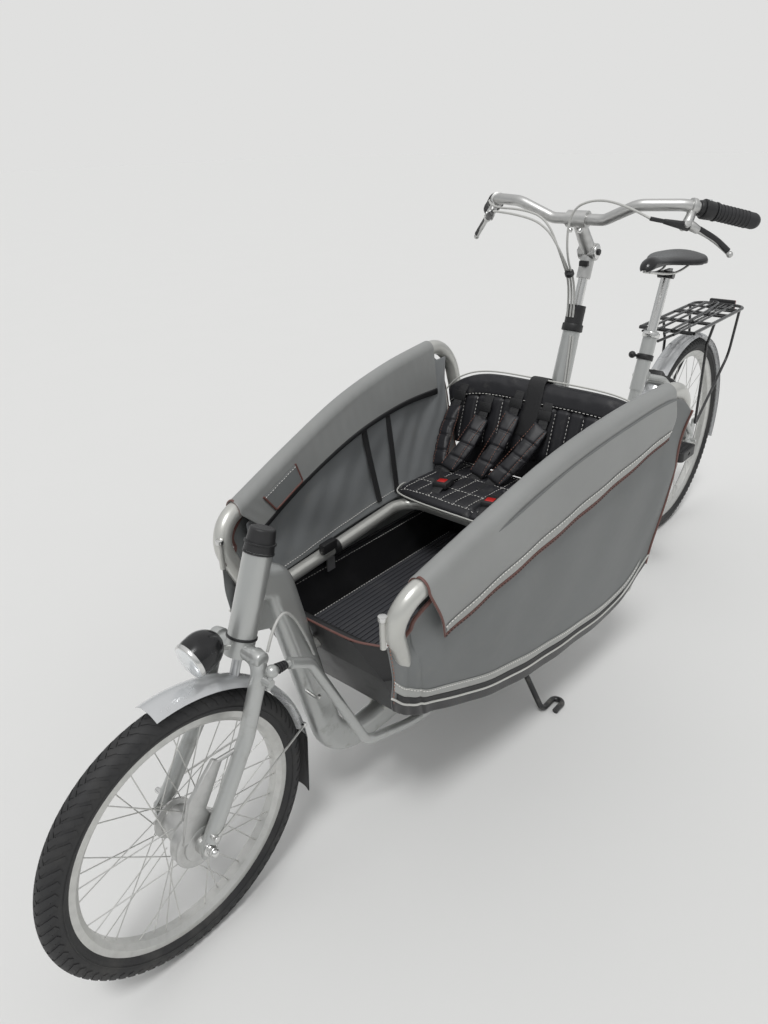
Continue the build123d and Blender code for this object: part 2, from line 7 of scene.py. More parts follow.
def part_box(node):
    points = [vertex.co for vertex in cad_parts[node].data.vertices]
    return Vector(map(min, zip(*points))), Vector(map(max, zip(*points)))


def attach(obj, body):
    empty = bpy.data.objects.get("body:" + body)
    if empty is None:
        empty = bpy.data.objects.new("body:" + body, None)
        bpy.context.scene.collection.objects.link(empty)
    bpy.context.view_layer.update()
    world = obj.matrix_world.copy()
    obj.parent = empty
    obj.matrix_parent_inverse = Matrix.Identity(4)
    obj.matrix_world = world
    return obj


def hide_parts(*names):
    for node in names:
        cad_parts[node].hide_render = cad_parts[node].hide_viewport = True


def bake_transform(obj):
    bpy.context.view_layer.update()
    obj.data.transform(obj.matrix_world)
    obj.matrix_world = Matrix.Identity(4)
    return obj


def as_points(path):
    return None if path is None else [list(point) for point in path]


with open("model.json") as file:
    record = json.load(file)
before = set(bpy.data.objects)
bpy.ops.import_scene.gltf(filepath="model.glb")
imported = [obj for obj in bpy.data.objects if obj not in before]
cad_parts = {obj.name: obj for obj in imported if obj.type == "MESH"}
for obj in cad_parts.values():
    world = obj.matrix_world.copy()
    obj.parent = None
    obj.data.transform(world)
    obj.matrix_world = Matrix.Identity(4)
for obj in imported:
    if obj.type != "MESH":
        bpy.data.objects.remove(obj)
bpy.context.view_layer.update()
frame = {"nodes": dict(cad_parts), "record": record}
print("frame loaded:", len(frame["nodes"]), "nodes")

# Metres, in the model's own frame: +X forward, +Y the rider's left, +Z up, the floor at z = 0.


# Camera: ahead of the bike, on its left, looking back and down
view = {"place": (1.48757, 0.84254, 1.25848), "yaw": 221.2596, "pitch": -26.4327, "roll": -1.589,
        "lens": 26.816, "sensor": 36.0}


def addCamera():
    yaw, pitch, roll = (radians(view[k]) for k in ("yaw", "pitch", "roll"))
    ahead = Vector((cos(pitch) * cos(yaw), cos(pitch) * sin(yaw), sin(pitch)))
    right = Vector((sin(yaw), -cos(yaw), 0))
    up = right.cross(ahead)
    turnedRight = cos(roll) * right + sin(roll) * up
    turnedUp = -sin(roll) * right + cos(roll) * up
    bpy.ops.object.camera_add()
    camera = bpy.context.object
    camera.name = "photoCamera"
    axes = Matrix((turnedRight, turnedUp, -ahead)).transposed().to_4x4()
    camera.matrix_world = Matrix.Translation(view["place"]) @ axes
    camera.data.lens = view["lens"]
    camera.data.sensor_width = view["sensor"]
    camera.data.clip_end = 200
    bpy.context.scene.camera = camera


addCamera()
print("camera placed")


# Shader maths as plain expressions: a Wire is a socket, and + - * on wires add Math nodes
class Wire:
    def __init__(self, tree, socket=None):
        self.tree = tree
        self.socket = socket

    def node(self, kind, settings=None, inputs=None, out=0):
        made = self.tree.nodes.new(kind)
        for key, value in (settings or {}).items():
            setattr(made, key, value)
        for key, value in (inputs or {}).items():
            socket = made.inputs[key]
            if isinstance(value, Wire):
                self.tree.links.new(value.socket, socket)
            elif hasattr(value, "__len__") and socket.type == "RGBA" and len(value) == 3:
                socket.default_value = (*value, 1)
            else:
                socket.default_value = value
        return Wire(self.tree, made.outputs[out])

    def maths(self, operation, *values):
        return self.node("ShaderNodeMath", {"operation": operation}, dict(enumerate(values)))

    def __add__(self, other):
        return self.maths("ADD", self, other)

    def __sub__(self, other):
        return self.maths("SUBTRACT", self, other)

    def __rsub__(self, other):
        return self.maths("SUBTRACT", other, self)

    def __mul__(self, other):
        return self.maths("MULTIPLY", self, other)

    __radd__ = __add__
    __rmul__ = __mul__

    def wave(self):
        return self.maths("SINE", self)

    def smooth(self, low, high, first=0.0, last=1.0):
        return self.node("ShaderNodeMapRange", {"interpolation_type": "SMOOTHSTEP"},
                         {0: self, 1: low, 2: high, 3: first, 4: last})

    def mix(self, first, second):   # this wire is the factor between two colours
        return self.node("ShaderNodeMix", {"data_type": "RGBA"}, {0: self, 6: first, 7: second}, out=2)

    def axis(self, which):
        return self.node("ShaderNodeSeparateXYZ", None, {0: self}, out=which)

    def noise(self, scale, detail=2.0, rough=0.5):
        return self.node("ShaderNodeTexNoise", None,
                         {"Vector": self, "Scale": scale, "Detail": detail, "Roughness": rough})

    def cells(self, scale):
        return self.node("ShaderNodeTexVoronoi", None, {"Vector": self, "Scale": scale})

    def stretched(self, scale):
        return self.node("ShaderNodeMapping", None, {"Vector": self, "Scale": scale})

    def bump(self, strength, distance, normal=None):
        inputs = {"Height": self, "Strength": strength, "Distance": distance}
        if normal is not None:
            inputs["Normal"] = normal
        return self.node("ShaderNodeBump", None, inputs)


def newMaterial(name, build, coat=0.0, coatRough=0.03):
    # build gets the Object coordinates and returns the shader's inputs
    material = bpy.data.materials.new(name)
    material.use_nodes = True
    tree = material.node_tree
    shader = tree.nodes["Principled BSDF"]
    place = Wire(tree).node("ShaderNodeTexCoord", out=3)
    for key, value in {**build(place), "Coat Weight": coat, "Coat Roughness": coatRough}.items():
        if isinstance(value, Wire):
            tree.links.new(value.socket, shader.inputs[key])
        else:
            shader.inputs[key].default_value = (*value, 1) if hasattr(value, "__len__") else value
    material.diffuse_color = (0.5, 0.5, 0.5, 1)
    return material


# Studio: a pale floor, one wide soft sun high on the left and a plain pale sky
studio = {"floor": 80.0, "floorColour": (0.74, 0.74, 0.73), "sky": 0.70,
          "background": (0.745, 0.745, 0.738),
          "sun": 1.30, "sunAim": (-0.42, -0.25, -1.0), "sunWidth": 14.0}


def addStudio():
    bpy.ops.mesh.primitive_plane_add(size=studio["floor"], location=(0, 0, 0))
    floor = bpy.context.object
    floor.name = "studioFloor"

    def floorLook(place):
        colour = studio["floorColour"]
        return {"Base Color": place.noise(3.0).mix(colour, tuple(0.985 * c for c in colour)),
                "Roughness": 0.85}

    floor.data.materials.append(newMaterial("studioFloorPaint", floorLook))
    world = bpy.data.worlds.new("studioSky")
    bpy.context.scene.world = world
    world.use_nodes = True
    tree = world.node_tree
    start = Wire(tree)
    height = start.node("ShaderNodeTexCoord", out=0).axis(2)
    sky = height.smooth(-0.15, 0.75).mix((0.50, 0.52, 0.53), (1.0, 1.0, 1.0))
    shown = start.node("ShaderNodeLightPath", out=0)
    light = tree.nodes["Background"]
    tree.links.new(shown.mix(sky, studio["background"]).socket, light.inputs["Color"])
    tree.links.new((shown * (1.0 - studio["sky"]) + studio["sky"]).socket, light.inputs["Strength"])
    bpy.ops.object.light_add(type="SUN", location=(1.5, 1.5, 3.0))
    lamp = bpy.context.object
    lamp.name = "softSun"
    lamp.data.energy = studio["sun"]
    lamp.data.angle = radians(studio["sunWidth"])
    lamp.rotation_euler = Vector(studio["sunAim"]).to_track_quat("-Z", "Y").to_euler()
    bpy.context.scene.view_settings.view_transform = "Standard"


addStudio()
print("studio lit")


# Finishes
def paintLook(colour, shine=0.30, metal=0.55, flake=0.05, grime=0.10):
    # Metallic paint: fine flake, faint large clouds, road film that thickens towards the ground
    def look(place):
        sparkle = place.noise(2600.0, 1.0).smooth(0.35, 0.65)
        cloud = place.noise(5.0, 3.0).smooth(0.3, 0.7)
        low = place.axis(2).smooth(0.10, 0.75, 1.0, 0.0)
        dirt = (place.noise(38.0, 6.0, 0.65).smooth(0.52, 0.72) * low) * grime * 4
        base = (sparkle * flake + cloud * 0.4 * flake).mix(colour, tuple(min(1, 1.35 * c) for c in colour))
        base = dirt.mix(base, (0.16, 0.15, 0.125))
        return {"Base Color": base,
                "Roughness": shine + cloud * 0.05 + dirt * 0.35,
                "Metallic": metal - dirt * metal,
                "Normal": place.noise(420.0, 2.0).bump(0.03, 0.0004)}
    return look


def metalLook(colour, rough=0.26, brush=0.0):
    def look(place):
        smear = place.noise(60.0, 5.0, 0.6).smooth(0.35, 0.75)
        fine = place.stretched((900, 900, 60)).noise(1.0, 2.0)
        return {"Base Color": (smear * 0.25).mix(colour, tuple(0.72 * c for c in colour)),
                "Roughness": smear * 0.16 + fine * brush + rough,
                "Metallic": 1.0,
                "Normal": fine.bump(0.04 + brush, 0.0003)}
    return look


def plasticLook(colour, rough=0.42, grain=0.0006, metal=0.0):
    def look(place):
        pebble = place.cells(1300.0)
        worn = place.noise(24.0, 5.0, 0.6).smooth(0.5, 0.8)
        return {"Base Color": (worn * 0.125).mix(colour, tuple(min(1, c + 0.08) for c in colour)),
                "Roughness": worn * 0.12 + rough,
                "Metallic": metal,
                "Normal": pebble.bump(0.25, grain)}
    return look


def rubberLook(colour, dust=0.35):
    def look(place):
        fine = place.noise(900.0, 3.0, 0.6)
        chalk = place.noise(16.0, 6.0, 0.65).smooth(0.45, 0.75)
        low = place.axis(2).smooth(0.0, 0.6, 1.0, 0.35)
        return {"Base Color": (chalk * low * dust).mix(colour, (0.13, 0.125, 0.115)),
                "Roughness": 0.62 + chalk * 0.14,
                "Normal": fine.bump(0.2, 0.0005)}
    return look


def clothLook(colour, weave, depth):
    # Coated or woven cloth: threads both ways, faded patches, dust in the folds
    def look(place):
        warp = place.stretched((weave, weave, weave * 0.25)).noise(1.0, 1.0)
        weft = place.stretched((weave * 0.25, weave * 0.25, weave)).noise(1.0, 1.0)
        faded = place.noise(4.5, 4.0, 0.55).smooth(0.3, 0.75)
        dust = place.noise(26.0, 6.0, 0.65).smooth(0.55, 0.8)
        soft = place.noise(11.0, 2.0)
        base = (faded * 0.7).mix(colour, tuple(min(1, 1.22 * c + 0.006) for c in colour))
        base = (dust * 0.22).mix(base, (0.30, 0.29, 0.26))
        grain = (warp + weft).bump(0.30, depth)
        return {"Base Color": base,
                "Roughness": faded * 0.10 + dust * 0.10 + 0.46,
                "Normal": soft.bump(0.35, 0.006, grain)}
    return look


def ribbedLook(colour, pitch):
    # Woven tape: ribs across its length, read from the strip's own map
    def look(place):
        ribs = (place.node("ShaderNodeTexCoord", out=2).axis(0) * (2 * pi / pitch)).wave()
        fine = place.noise(1500.0, 2.0)
        return {"Base Color": (fine * 0.5).mix(colour, tuple(2.2 * c for c in colour)),
                "Roughness": fine * 0.15 + 0.5,
                "Normal": (ribs * 0.5 + fine * 0.4).bump(0.35, 0.0006)}
    return look


# Each finish: its look, then the weight and roughness of a clear coat
looks = {
    "silver_paint": (paintLook((0.47, 0.48, 0.47)), 0.5, 0.12),
    "pale_tube": (paintLook((0.56, 0.56, 0.53), grime=0.06), 0.4, 0.15),
    "silver_guard": (paintLook((0.60, 0.61, 0.62), shine=0.24, metal=0.5), 0.6, 0.08),
    "silver_alloy": (metalLook((0.60, 0.60, 0.59), 0.34, 0.1),),
    "polished_alloy": (metalLook((0.74, 0.74, 0.73), 0.14, 0.04),),
    "rim_alloy": (metalLook((0.66, 0.66, 0.64), 0.36, 0.08),),
    "zinc_wire": (metalLook((0.68, 0.68, 0.66), 0.28, 0.05),),
    "black_steel": (paintLook((0.012, 0.012, 0.013), 0.25, 0.0, 0.02), 0.5),
    "black_plastic": (plasticLook((0.016, 0.016, 0.017)),),
    "lamp_shell": (plasticLook((0.010, 0.010, 0.011), 0.18, 0.0001),),
    "grip_rubber": (plasticLook((0.022, 0.022, 0.024), 0.5),),
    "tyre": (rubberLook((0.022, 0.022, 0.023)),),
    "saddle_cover": (plasticLook((0.010, 0.010, 0.011), 0.2, 0.0002),),
    "red_lens": (plasticLook((0.42, 0.012, 0.010), 0.12, 0.0001),),
    "black_vinyl": (plasticLook((0.014, 0.014, 0.015), 0.34, 0.0003),),
    "rib_mat": (rubberLook((0.045, 0.046, 0.052), 0.2),),
    "grey_tarpaulin": (clothLook((0.155, 0.162, 0.162), 900, 0.00025),),
    "black_padding": (clothLook((0.013, 0.013, 0.016), 1500, 0.00035),),
    "clear_lens": (plasticLook((0.80, 0.82, 0.83), 0.06, 0.0001, 0.55), 1.0),
    "cable_sleeve": (plasticLook((0.50, 0.50, 0.48), 0.38, 0.0002),),
    "flap_rubber": (rubberLook((0.018, 0.018, 0.019), 0.3),),
    # hoop flap cloth: the grey tarpaulin painted lighter, a painted highlight for the light on the
    # tight-wrapped hoop
    "tarpaulin_painted_highlight": (clothLook((0.25, 0.255, 0.25), 900, 0.00025), 0.3, 0.35),
    # lining cloth: the grey tarpaulin painted lighter, painted light where the lining sits in shade
    "lining_painted_light": (clothLook((0.215, 0.225, 0.23), 900, 0.00025),),
    "pale_band": (clothLook((0.34, 0.345, 0.33), 1100, 0.0003), 0.4, 0.25),
    "zip_tape": (ribbedLook((0.012, 0.012, 0.013), 0.004),),
    "brown_binding": (clothLook((0.13, 0.055, 0.045), 1400, 0.0003),),
    "pale_piping": (plasticLook((0.55, 0.55, 0.52), 0.4, 0.0002),),
    "white_thread": (clothLook((0.72, 0.71, 0.68), 2500, 0.0002),),
    "brown_thread": (clothLook((0.30, 0.14, 0.10), 2500, 0.0002),),
    "dark_thread": (clothLook((0.035, 0.022, 0.020), 2500, 0.0002),),
    "webbing": (ribbedLook((0.014, 0.014, 0.015), 0.0022),),
    "red_button": (plasticLook((0.50, 0.012, 0.010), 0.3, 0.0002),),
}
finishes = {name: newMaterial(name, *look) for name, look in looks.items()}


def finishNodes():
    for part in frame["record"]["subparts"]:
        node = frame["nodes"][part["node"]]
        node.data.materials.clear()
        node.data.materials.append(finishes[part["material_slot"]])


finishNodes()
print("finishes on the frame's nodes")


# Modelling: small helpers over bpy.ops that every new piece shares
def pick(piece):
    bpy.ops.object.select_all(action="DESELECT")
    piece.select_set(True)
    bpy.context.view_layer.objects.active = piece


def modify(piece, kind, **settings):
    pick(piece)
    modifier = piece.modifiers.new(kind.title(), kind)
    for key, value in settings.items():
        setattr(modifier, key, value)
    bpy.ops.object.modifier_apply(modifier=modifier.name)
    return piece


def edit(piece, *steps):
    pick(piece)
    bpy.ops.object.mode_set(mode="EDIT")
    for step in steps:
        bpy.ops.mesh.select_all(action="SELECT")
        step()
    bpy.ops.object.mode_set(mode="OBJECT")
    return piece


def join(pieces):
    bpy.ops.object.select_all(action="DESELECT")
    for piece in pieces:
        piece.select_set(True)
    bpy.context.view_layer.objects.active = pieces[0]
    bpy.ops.object.join()
    return pieces[0]


def applied():
    bpy.ops.object.transform_apply()
    return bpy.context.object


def spaced(start, end, count):
    return [start + (end - start) * k / count for k in range(count + 1)]


def settle(piece, name, finish, slot=None, body="frame", replaced=()):
    if isinstance(piece, list):
        piece = join(piece)
    piece.name = name
    piece.data.materials.clear()
    piece.data.materials.append(finishes[finish])
    pick(piece)
    if piece.type == "MESH":
        applied()
        bpy.ops.object.shade_smooth_by_angle(angle=radians(42))
    slot or finish
    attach(piece, body)
    for node in replaced:
        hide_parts(node)
    return piece


def along(points, share):
    # Point on a smooth line through the given points, share 0 at the first and 1 at the last
    last = len(points) - 1
    place = min(max(share, 0.0), 1.0) * last
    index = min(int(place), last - 1)
    part = place - index
    before, first, second, after = (Vector(points[min(max(index + k, 0), last)]) for k in (-1, 0, 1, 2))
    return 0.5 * (2 * first + (second - before) * part
                  + (2 * before - 5 * first + 4 * second - after) * part ** 2
                  + (3 * first - before - 3 * second + after) * part ** 3)


def laid(place, cols, rows, thick):
    # A grid primitive laid on place(u, v), then given its thickness; its UV map stays u, v
    bpy.ops.mesh.primitive_grid_add(x_subdivisions=cols, y_subdivisions=rows, size=1)
    piece = bpy.context.object
    for vertex in piece.data.vertices:
        vertex.co = place(vertex.co.x + 0.5, vertex.co.y + 0.5)
    modify(piece, "SOLIDIFY", thickness=thick, offset=0)
    return modify(piece, "SUBSURF", levels=1, render_levels=1)


def raised(place, lift, outward):
    # The same surface moved out by lift, square to itself and towards outward
    step = 0.004

    def moved(u, v):
        here = place(u, v)
        across = place(min(u + step, 1), v) - place(max(u - step, 0), v)
        down = place(u, min(v + step, 1)) - place(u, max(v - step, 0))
        square = across.cross(down).normalized()
        if square.dot(outward) < 0:
            square = -square
        return here + square * lift
    return moved


def banded(place, lines, lift, outward, ends):
    # A strip of the surface: lines gives its upper and lower v at a share of the surface's length
    out = raised(place, lift, outward)

    def strip(s, t):
        u = ends[0] + s * (ends[1] - ends[0])
        high, low = lines(u)
        return out(u, high + t * (low - high))
    return strip


def curveOf(points, kind="NURBS", steps=10):
    line = bpy.data.curves.new("line", "CURVE")
    line.dimensions = "3D"
    spline = line.splines.new(kind)
    spline.points.add(len(points) - 1)
    for point, place in zip(spline.points, points):
        point.co = (*place, 1)
    spline.order_u = 3
    spline.use_endpoint_u = True
    line.resolution_u = steps
    return bpy.data.objects.new("line", line)


def tube(points, radius, steps=4, turns=10):
    # Round cord or piping along a smooth curve, made a closed mesh
    piece = curveOf(points, steps=steps)
    piece.data.bevel_depth = radius
    piece.data.bevel_resolution = turns // 4
    piece.data.use_fill_caps = True
    bpy.context.collection.objects.link(piece)
    pick(piece)
    bpy.ops.object.convert(target="MESH")
    return bpy.context.object


def stitched(points, length, gap, radius):
    # One stitch, rounded by a bevel, repeated along a curve through the points
    seam = curveOf(points, "POLY")
    bpy.context.collection.objects.link(seam)
    bpy.ops.mesh.primitive_cube_add(size=1, scale=(length, 2 * radius, 2 * radius))
    stitch = modify(applied(), "BEVEL", width=radius * 0.55, segments=1)
    modify(stitch, "ARRAY", fit_type="FIT_CURVE", curve=seam, use_relative_offset=False,
           use_constant_offset=True, constant_offset_displace=(length + gap, 0, 0))
    modify(stitch, "CURVE", object=seam)
    bpy.data.objects.remove(seam)
    return stitch


# Cloth sides of the box: sleeve and flap over each hoop, panel outside it, lining inside it.
# Places are the left side's; the right side is their mirror image.
side = {
    "run": [(0.7050, 0.2205, 0.6263), (0.5339, 0.2415, 0.6832), (0.3573, 0.2629, 0.7339),
            (0.1759, 0.2839, 0.7628), (0.0000, 0.3037, 0.7745)],
    "top": [(0.760, 0.203, 0.548), (0.736, 0.206, 0.541), (0.716, 0.213, 0.556), (0.700, 0.226, 0.592),
            (0.534, 0.2636, 0.679), (0.357, 0.2856, 0.730), (0.176, 0.3066, 0.759), (0.007, 0.3257, 0.770),
            (-0.082, 0.331, 0.722)],
    "low": [(0.752, 0.203, 0.409), (0.716, 0.201, 0.375), (0.680, 0.203, 0.355), (0.640, 0.205, 0.336),
            (0.500, 0.213, 0.278), (0.340, 0.221, 0.238), (0.160, 0.226, 0.210), (-0.040, 0.231, 0.204),
            (-0.136, 0.260, 0.303)],
    "flap": [(0.668, 0.243, 0.527), (0.520, 0.258, 0.560), (0.345, 0.277, 0.598), (0.165, 0.296, 0.637),
             (-0.004, 0.316, 0.678)],
    "inner": [(0.652, 0.197, 0.576), (0.520, 0.211, 0.625), (0.345, 0.228, 0.668), (0.165, 0.250, 0.679),
              (0.005, 0.268, 0.668)],
    "liningTop": [(0.690, 0.206, 0.600), (0.560, 0.220, 0.650), (0.318, 0.247, 0.726),
                  (0.060, 0.277, 0.748),
                  (-0.055, 0.289, 0.748)],
    "liningLow": [(0.678, 0.204, 0.452), (0.560, 0.209, 0.458), (0.420, 0.217, 0.468),
                  (0.250, 0.224, 0.474),
                  (0.140, 0.224, 0.470), (0.012, 0.224, 0.462)],
    "tube": 0.0190, "cloth": 0.0016, "stitch": (0.0042, 0.0030, 0.0007),
}


hands = ((1, "left"), (-1, "right"))


def mirrored(point, hand):
    return Vector((point[0], point[1] * hand, point[2]))


def panelAt(hand):
    def place(u, v):
        spot = along(side["top"], u).lerp(along(side["low"], u), v)
        belly = sin(pi * v) ** 2 * (0.004 + 0.004 * sin(pi * u))
        crease = 0.0022 * sin(46 * u + 5 * v) * sin(pi * v) ** 2
        crease += 0.0016 * sin(19 * u - 11 * v + 1.3) * v
        tug = 0.0030 * sin(64 * u) * max(0.0, v - 0.62)   # the hem's short puckers
        tuck = 0.0075 * sin(pi * min(1.0, v / 0.34)) * min(1.0, u / 0.25)   # drawn in behind the flap
        return mirrored(spot + Vector((0, belly + crease + tug - tuck, 0)), hand)
    return place


def flapAt(hand):
    # From the inner hem up round the tube and down to the outer hem
    def place(u, v):
        middle = along(side["run"], u)
        inner, outer = along(side["inner"], u), along(side["flap"], u)
        radius = side["tube"] + 0.0012
        first, last = middle + Vector((0, -radius, 0)), middle + Vector((0, radius, 0))
        if v < 0.3:
            spot = inner.lerp(first, v / 0.3)
        elif v < 0.62:
            turn = pi * (1 - (v - 0.3) / 0.32)
            spot = middle + Vector((0, radius * cos(turn), radius * 1.04 * sin(turn)))
        else:
            part = (v - 0.62) / 0.38
            spot = last.lerp(outer, part)
            spot.y += 0.0075 * sin(pi * part) ** 1.5 + 0.002 * part + 0.0012 * sin(38 * u + 3 * part) * part
        spot.y -= 0.0008 * sin(150 * u) * (1 - min(1, abs(v - 0.22) / 0.2))   # gathers along the inner side
        return mirrored(spot, hand)
    return place


def liningAt(hand):
    def place(u, v):
        spot = along(side["liningTop"], u).lerp(along(side["liningLow"], u), v)
        fan = sin(pi * v)
        fold = 0.0042 * sin(9 * u + 2.2 * v) + 0.0035 * sin(21 * u - 5 * v) + 0.0014 * sin(57 * u + 12 * v)
        return mirrored(spot + Vector((0, 0.004 * fan + fold * fan, 0)), hand)
    return place


def widthOf(place, u):
    return sum((place(u, k / 12) - place(u, (k + 1) / 12)).length for k in range(12))


def fromHem(place, high, low):
    # Upper and lower v of a band that keeps its distances, in metres, from the hem
    def lines(u):
        tall = widthOf(place, u)
        return 1 - high / tall, 1 - low / tall
    return lines


def addSides():
    for hand, name in hands:
        out, into = Vector((0, hand, 0)), Vector((0, -hand, 0))
        cloth = side["cloth"]
        panel, flap, lining = panelAt(hand), flapAt(hand), liningAt(hand)
        body = settle(laid(panel, 90, 36, cloth), "sidePanel_" + name, "grey_tarpaulin",
                      replaced=["side_panel_" + name])
        # flap and lining wear lighter copies of the grey tarpaulin: painted highlight on the flap, painted
        # light on the lining
        sleeve = settle(laid(flap, 80, 40, cloth), "hoopFlap_" + name, "tarpaulin_painted_highlight", "grey_tarpaulin")
        inner = settle(laid(lining, 72, 30, cloth), "sideLining_" + name, "lining_painted_light", "grey_tarpaulin")
        trims = [
            ("skirt", panel, fromHem(panel, 0.027, 0.0), 0.0018, out, (0, 1), "black_vinyl", 60, 4, 0.0016),
            ("zip", panel, fromHem(panel, 0.047, 0.031), 0.0020, out, (0.05, 0.9), "zip_tape", 60, 4,
             0.0016),
            ("reflect", panel, fromHem(panel, 0.070, 0.047), 0.0018, out, (0.02, 0.95), "pale_band", 70, 4,
             0.0012),
            ("flapBand", flap, lambda u: (0.90, 0.97), 0.0018, out, (0.02, 0.99), "pale_band", 60, 2,
             0.0010),
            ("flapHem", flap, lambda u: (0.972, 1.0), 0.0012, out, (0, 1), "brown_binding", 60, 2, 0.0030),
            ("innerHem", flap, lambda u: (0.045, 0.0), 0.0012, into, (0, 1), "black_vinyl", 60, 2, 0.0026),
            ("cuffBinding", flap, lambda u: (0.0, 1.0), 0.0012, out, (0, 0.012), "brown_binding", 2, 60,
             0.0030),
        ]
        for label, place, lines, lift, outward, ends, finish, cols, rows, thick in trims:
            strip = laid(banded(place, lines, lift, outward, ends), cols, rows, thick)
            settle(strip, label + "_" + name, finish, "grey_tarpaulin")
        edge, hem = raised(panel, 0.001, out), raised(panel, 0.003, out)
        bindings = [
            ("frontBinding", [edge(u, 0.0) for u in spaced(0.005, 0.400, 14)], 0.0034, "brown_binding"),
            ("rearBinding", [edge(1, v) for v in spaced(0, 1, 10)], 0.0030, "brown_binding"),
            ("hemPiping", [hem(u, 1 - 0.0290 / widthOf(panel, u)) for u in spaced(0, 1, 40)], 0.0021,
             "pale_piping"),
        ]
        for label, points, radius, finish in bindings:
            settle(tube(points, radius), label + "_" + name, finish, "grey_tarpaulin")
        seams = [
            (panel, 0.0034, out, [(u, 1 - 0.066 / widthOf(panel, u)) for u in spaced(0.03, 0.93, 60)],
             "white_thread"),
            (flap, 0.0030, out, [(u, 0.905) for u in spaced(0.02, 0.99, 60)], "white_thread"),
            (flap, 0.0036, out, [(u, 0.985) for u in spaced(0.01, 0.99, 60)], "dark_thread"),
            (lining, 0.0016, into, [(u, 0.93) for u in spaced(0.06, 0.92, 60)], "white_thread"),
            (panel, 0.0022, out, [(0.022, v) for v in spaced(0.05, 0.90, 20)], "brown_thread"),
        ]
        for number, (place, lift, outward, spots, finish) in enumerate(seams):
            line = [raised(place, lift, outward)(u, v) for u, v in spots]
            settle(stitched(line, *side["stitch"]), "seam_%s_%d" % (name, number), finish, "grey_tarpaulin")


addSides()
print("cloth sides, flaps and linings hung")


def moulded(cuts, shape):
    # A cube subdivided and laid on shape(a, b, c), each from -1 to 1, with its rim rounded off
    bpy.ops.mesh.primitive_cube_add(size=2)
    piece = bpy.context.object
    edit(piece, lambda: bpy.ops.mesh.subdivide(number_cuts=cuts))
    rim = 0.10
    for vertex in piece.data.vertices:
        a, b, c = vertex.co
        reach = max(abs(a), abs(b))
        if abs(c) > 0.9999:
            grow = 1 - rim
        else:
            grow = (1 - rim * (1 - sqrt(max(0.0, 1 - c * c)))) / reach
        vertex.co = shape(a * grow, b * grow, c)
    return piece


puff = {"pressure": 4.0, "frames": 20}


def puffed(piece, voxel, cap):
    # Remeshed, blown up a little as cloth, each point's move capped, then smoothed
    modify(piece, "REMESH", mode="VOXEL", voxel_size=voxel)
    before = [vertex.co.copy() for vertex in piece.data.vertices]
    pick(piece)
    cloth = piece.modifiers.new("Cloth", "CLOTH")
    cloth.settings.use_pressure = True
    cloth.settings.uniform_pressure_force = puff["pressure"]
    cloth.settings.effector_weights.gravity = 0
    for step in range(1, puff["frames"] + 1):
        bpy.context.scene.frame_set(step)
    bpy.ops.object.modifier_apply(modifier="Cloth")
    for vertex, start in zip(piece.data.vertices, before):
        move = vertex.co - start
        if move.length > cap:
            vertex.co = start + move * (cap / move.length)
    return modify(piece, "SUBSURF", levels=1, render_levels=1)


def pressed(piece, depthAt, facing):
    # Sewn channels: points that face this way sink by depthAt(place)
    facing = Vector(facing).normalized()
    normals = [vertex.normal.copy() for vertex in piece.data.vertices]
    for vertex, normal in zip(piece.data.vertices, normals):
        if normal.dot(facing) > 0.25:
            vertex.co = vertex.co - facing * depthAt(vertex.co)
    piece.data.update()
    return piece


def onto(piece, points, facing, lift):
    # The points dropped on to the piece's surface against facing, and lifted off it
    facing = Vector(facing).normalized()
    found = []
    for point in points:
        hit, place = piece.ray_cast(Vector(point) + facing * 0.08, -facing)[:2]
        if hit:
            found.append(place + facing * lift)
    return found


def rodBetween(start, end, first, last=None, rim=0.0, turns=28):
    start, end = Vector(start), Vector(end)
    line = end - start
    bpy.ops.mesh.primitive_cone_add(vertices=turns, radius1=first, radius2=first if last is None else last,
                                    depth=line.length, location=(start + end) / 2,
                                    rotation=line.to_track_quat("Z", "Y").to_euler())
    piece = applied()
    if rim:
        modify(piece, "BEVEL", width=rim, segments=2, limit_method="ANGLE", angle_limit=radians(50))
    return piece


def ballAt(place, radius):
    bpy.ops.mesh.primitive_uv_sphere_add(segments=28, ring_count=16, radius=radius, location=place)
    return applied()


def blockAt(place, size, rim, turn=(0, 0, 0)):
    bpy.ops.mesh.primitive_cube_add(size=1, location=place, rotation=turn, scale=size)
    return modify(applied(), "BEVEL", width=rim, segments=2)


def plateOf(outline, y, thick, rim):
    # Flat plate from its (x, z) outline, square to Y
    bpy.ops.mesh.primitive_circle_add(vertices=len(outline), radius=1, fill_type="NGON")
    piece = bpy.context.object
    for vertex, (x, z) in zip(piece.data.vertices, outline):
        vertex.co = (x, y, z)
    modify(piece, "SOLIDIFY", thickness=thick, offset=0)
    return modify(piece, "BEVEL", width=rim, segments=2, limit_method="ANGLE")


# Leaning axes: x and z of the lower end, and the angle from the ground
headAxis = (0.882053, 0.539821, 68.5)
columnAxis = (0.041, 0.168, 73.0)
seatAxis = (-0.484, 0.282, 70.0)


def on(axis, u, y, w):
    # u forward of the axis, y to the left and w up along it
    lean = radians(axis[2])
    return Vector((axis[0] + u * sin(lean) - w * cos(lean), y, axis[1] + u * cos(lean) + w * sin(lean)))


def ringOn(axis, low, high, *size):
    return rodBetween(on(axis, 0, 0, low), on(axis, 0, 0, high), *size)


forward = on(columnAxis, 1, 0, 0) - on(columnAxis, 0, 0, 0)   # square to the column


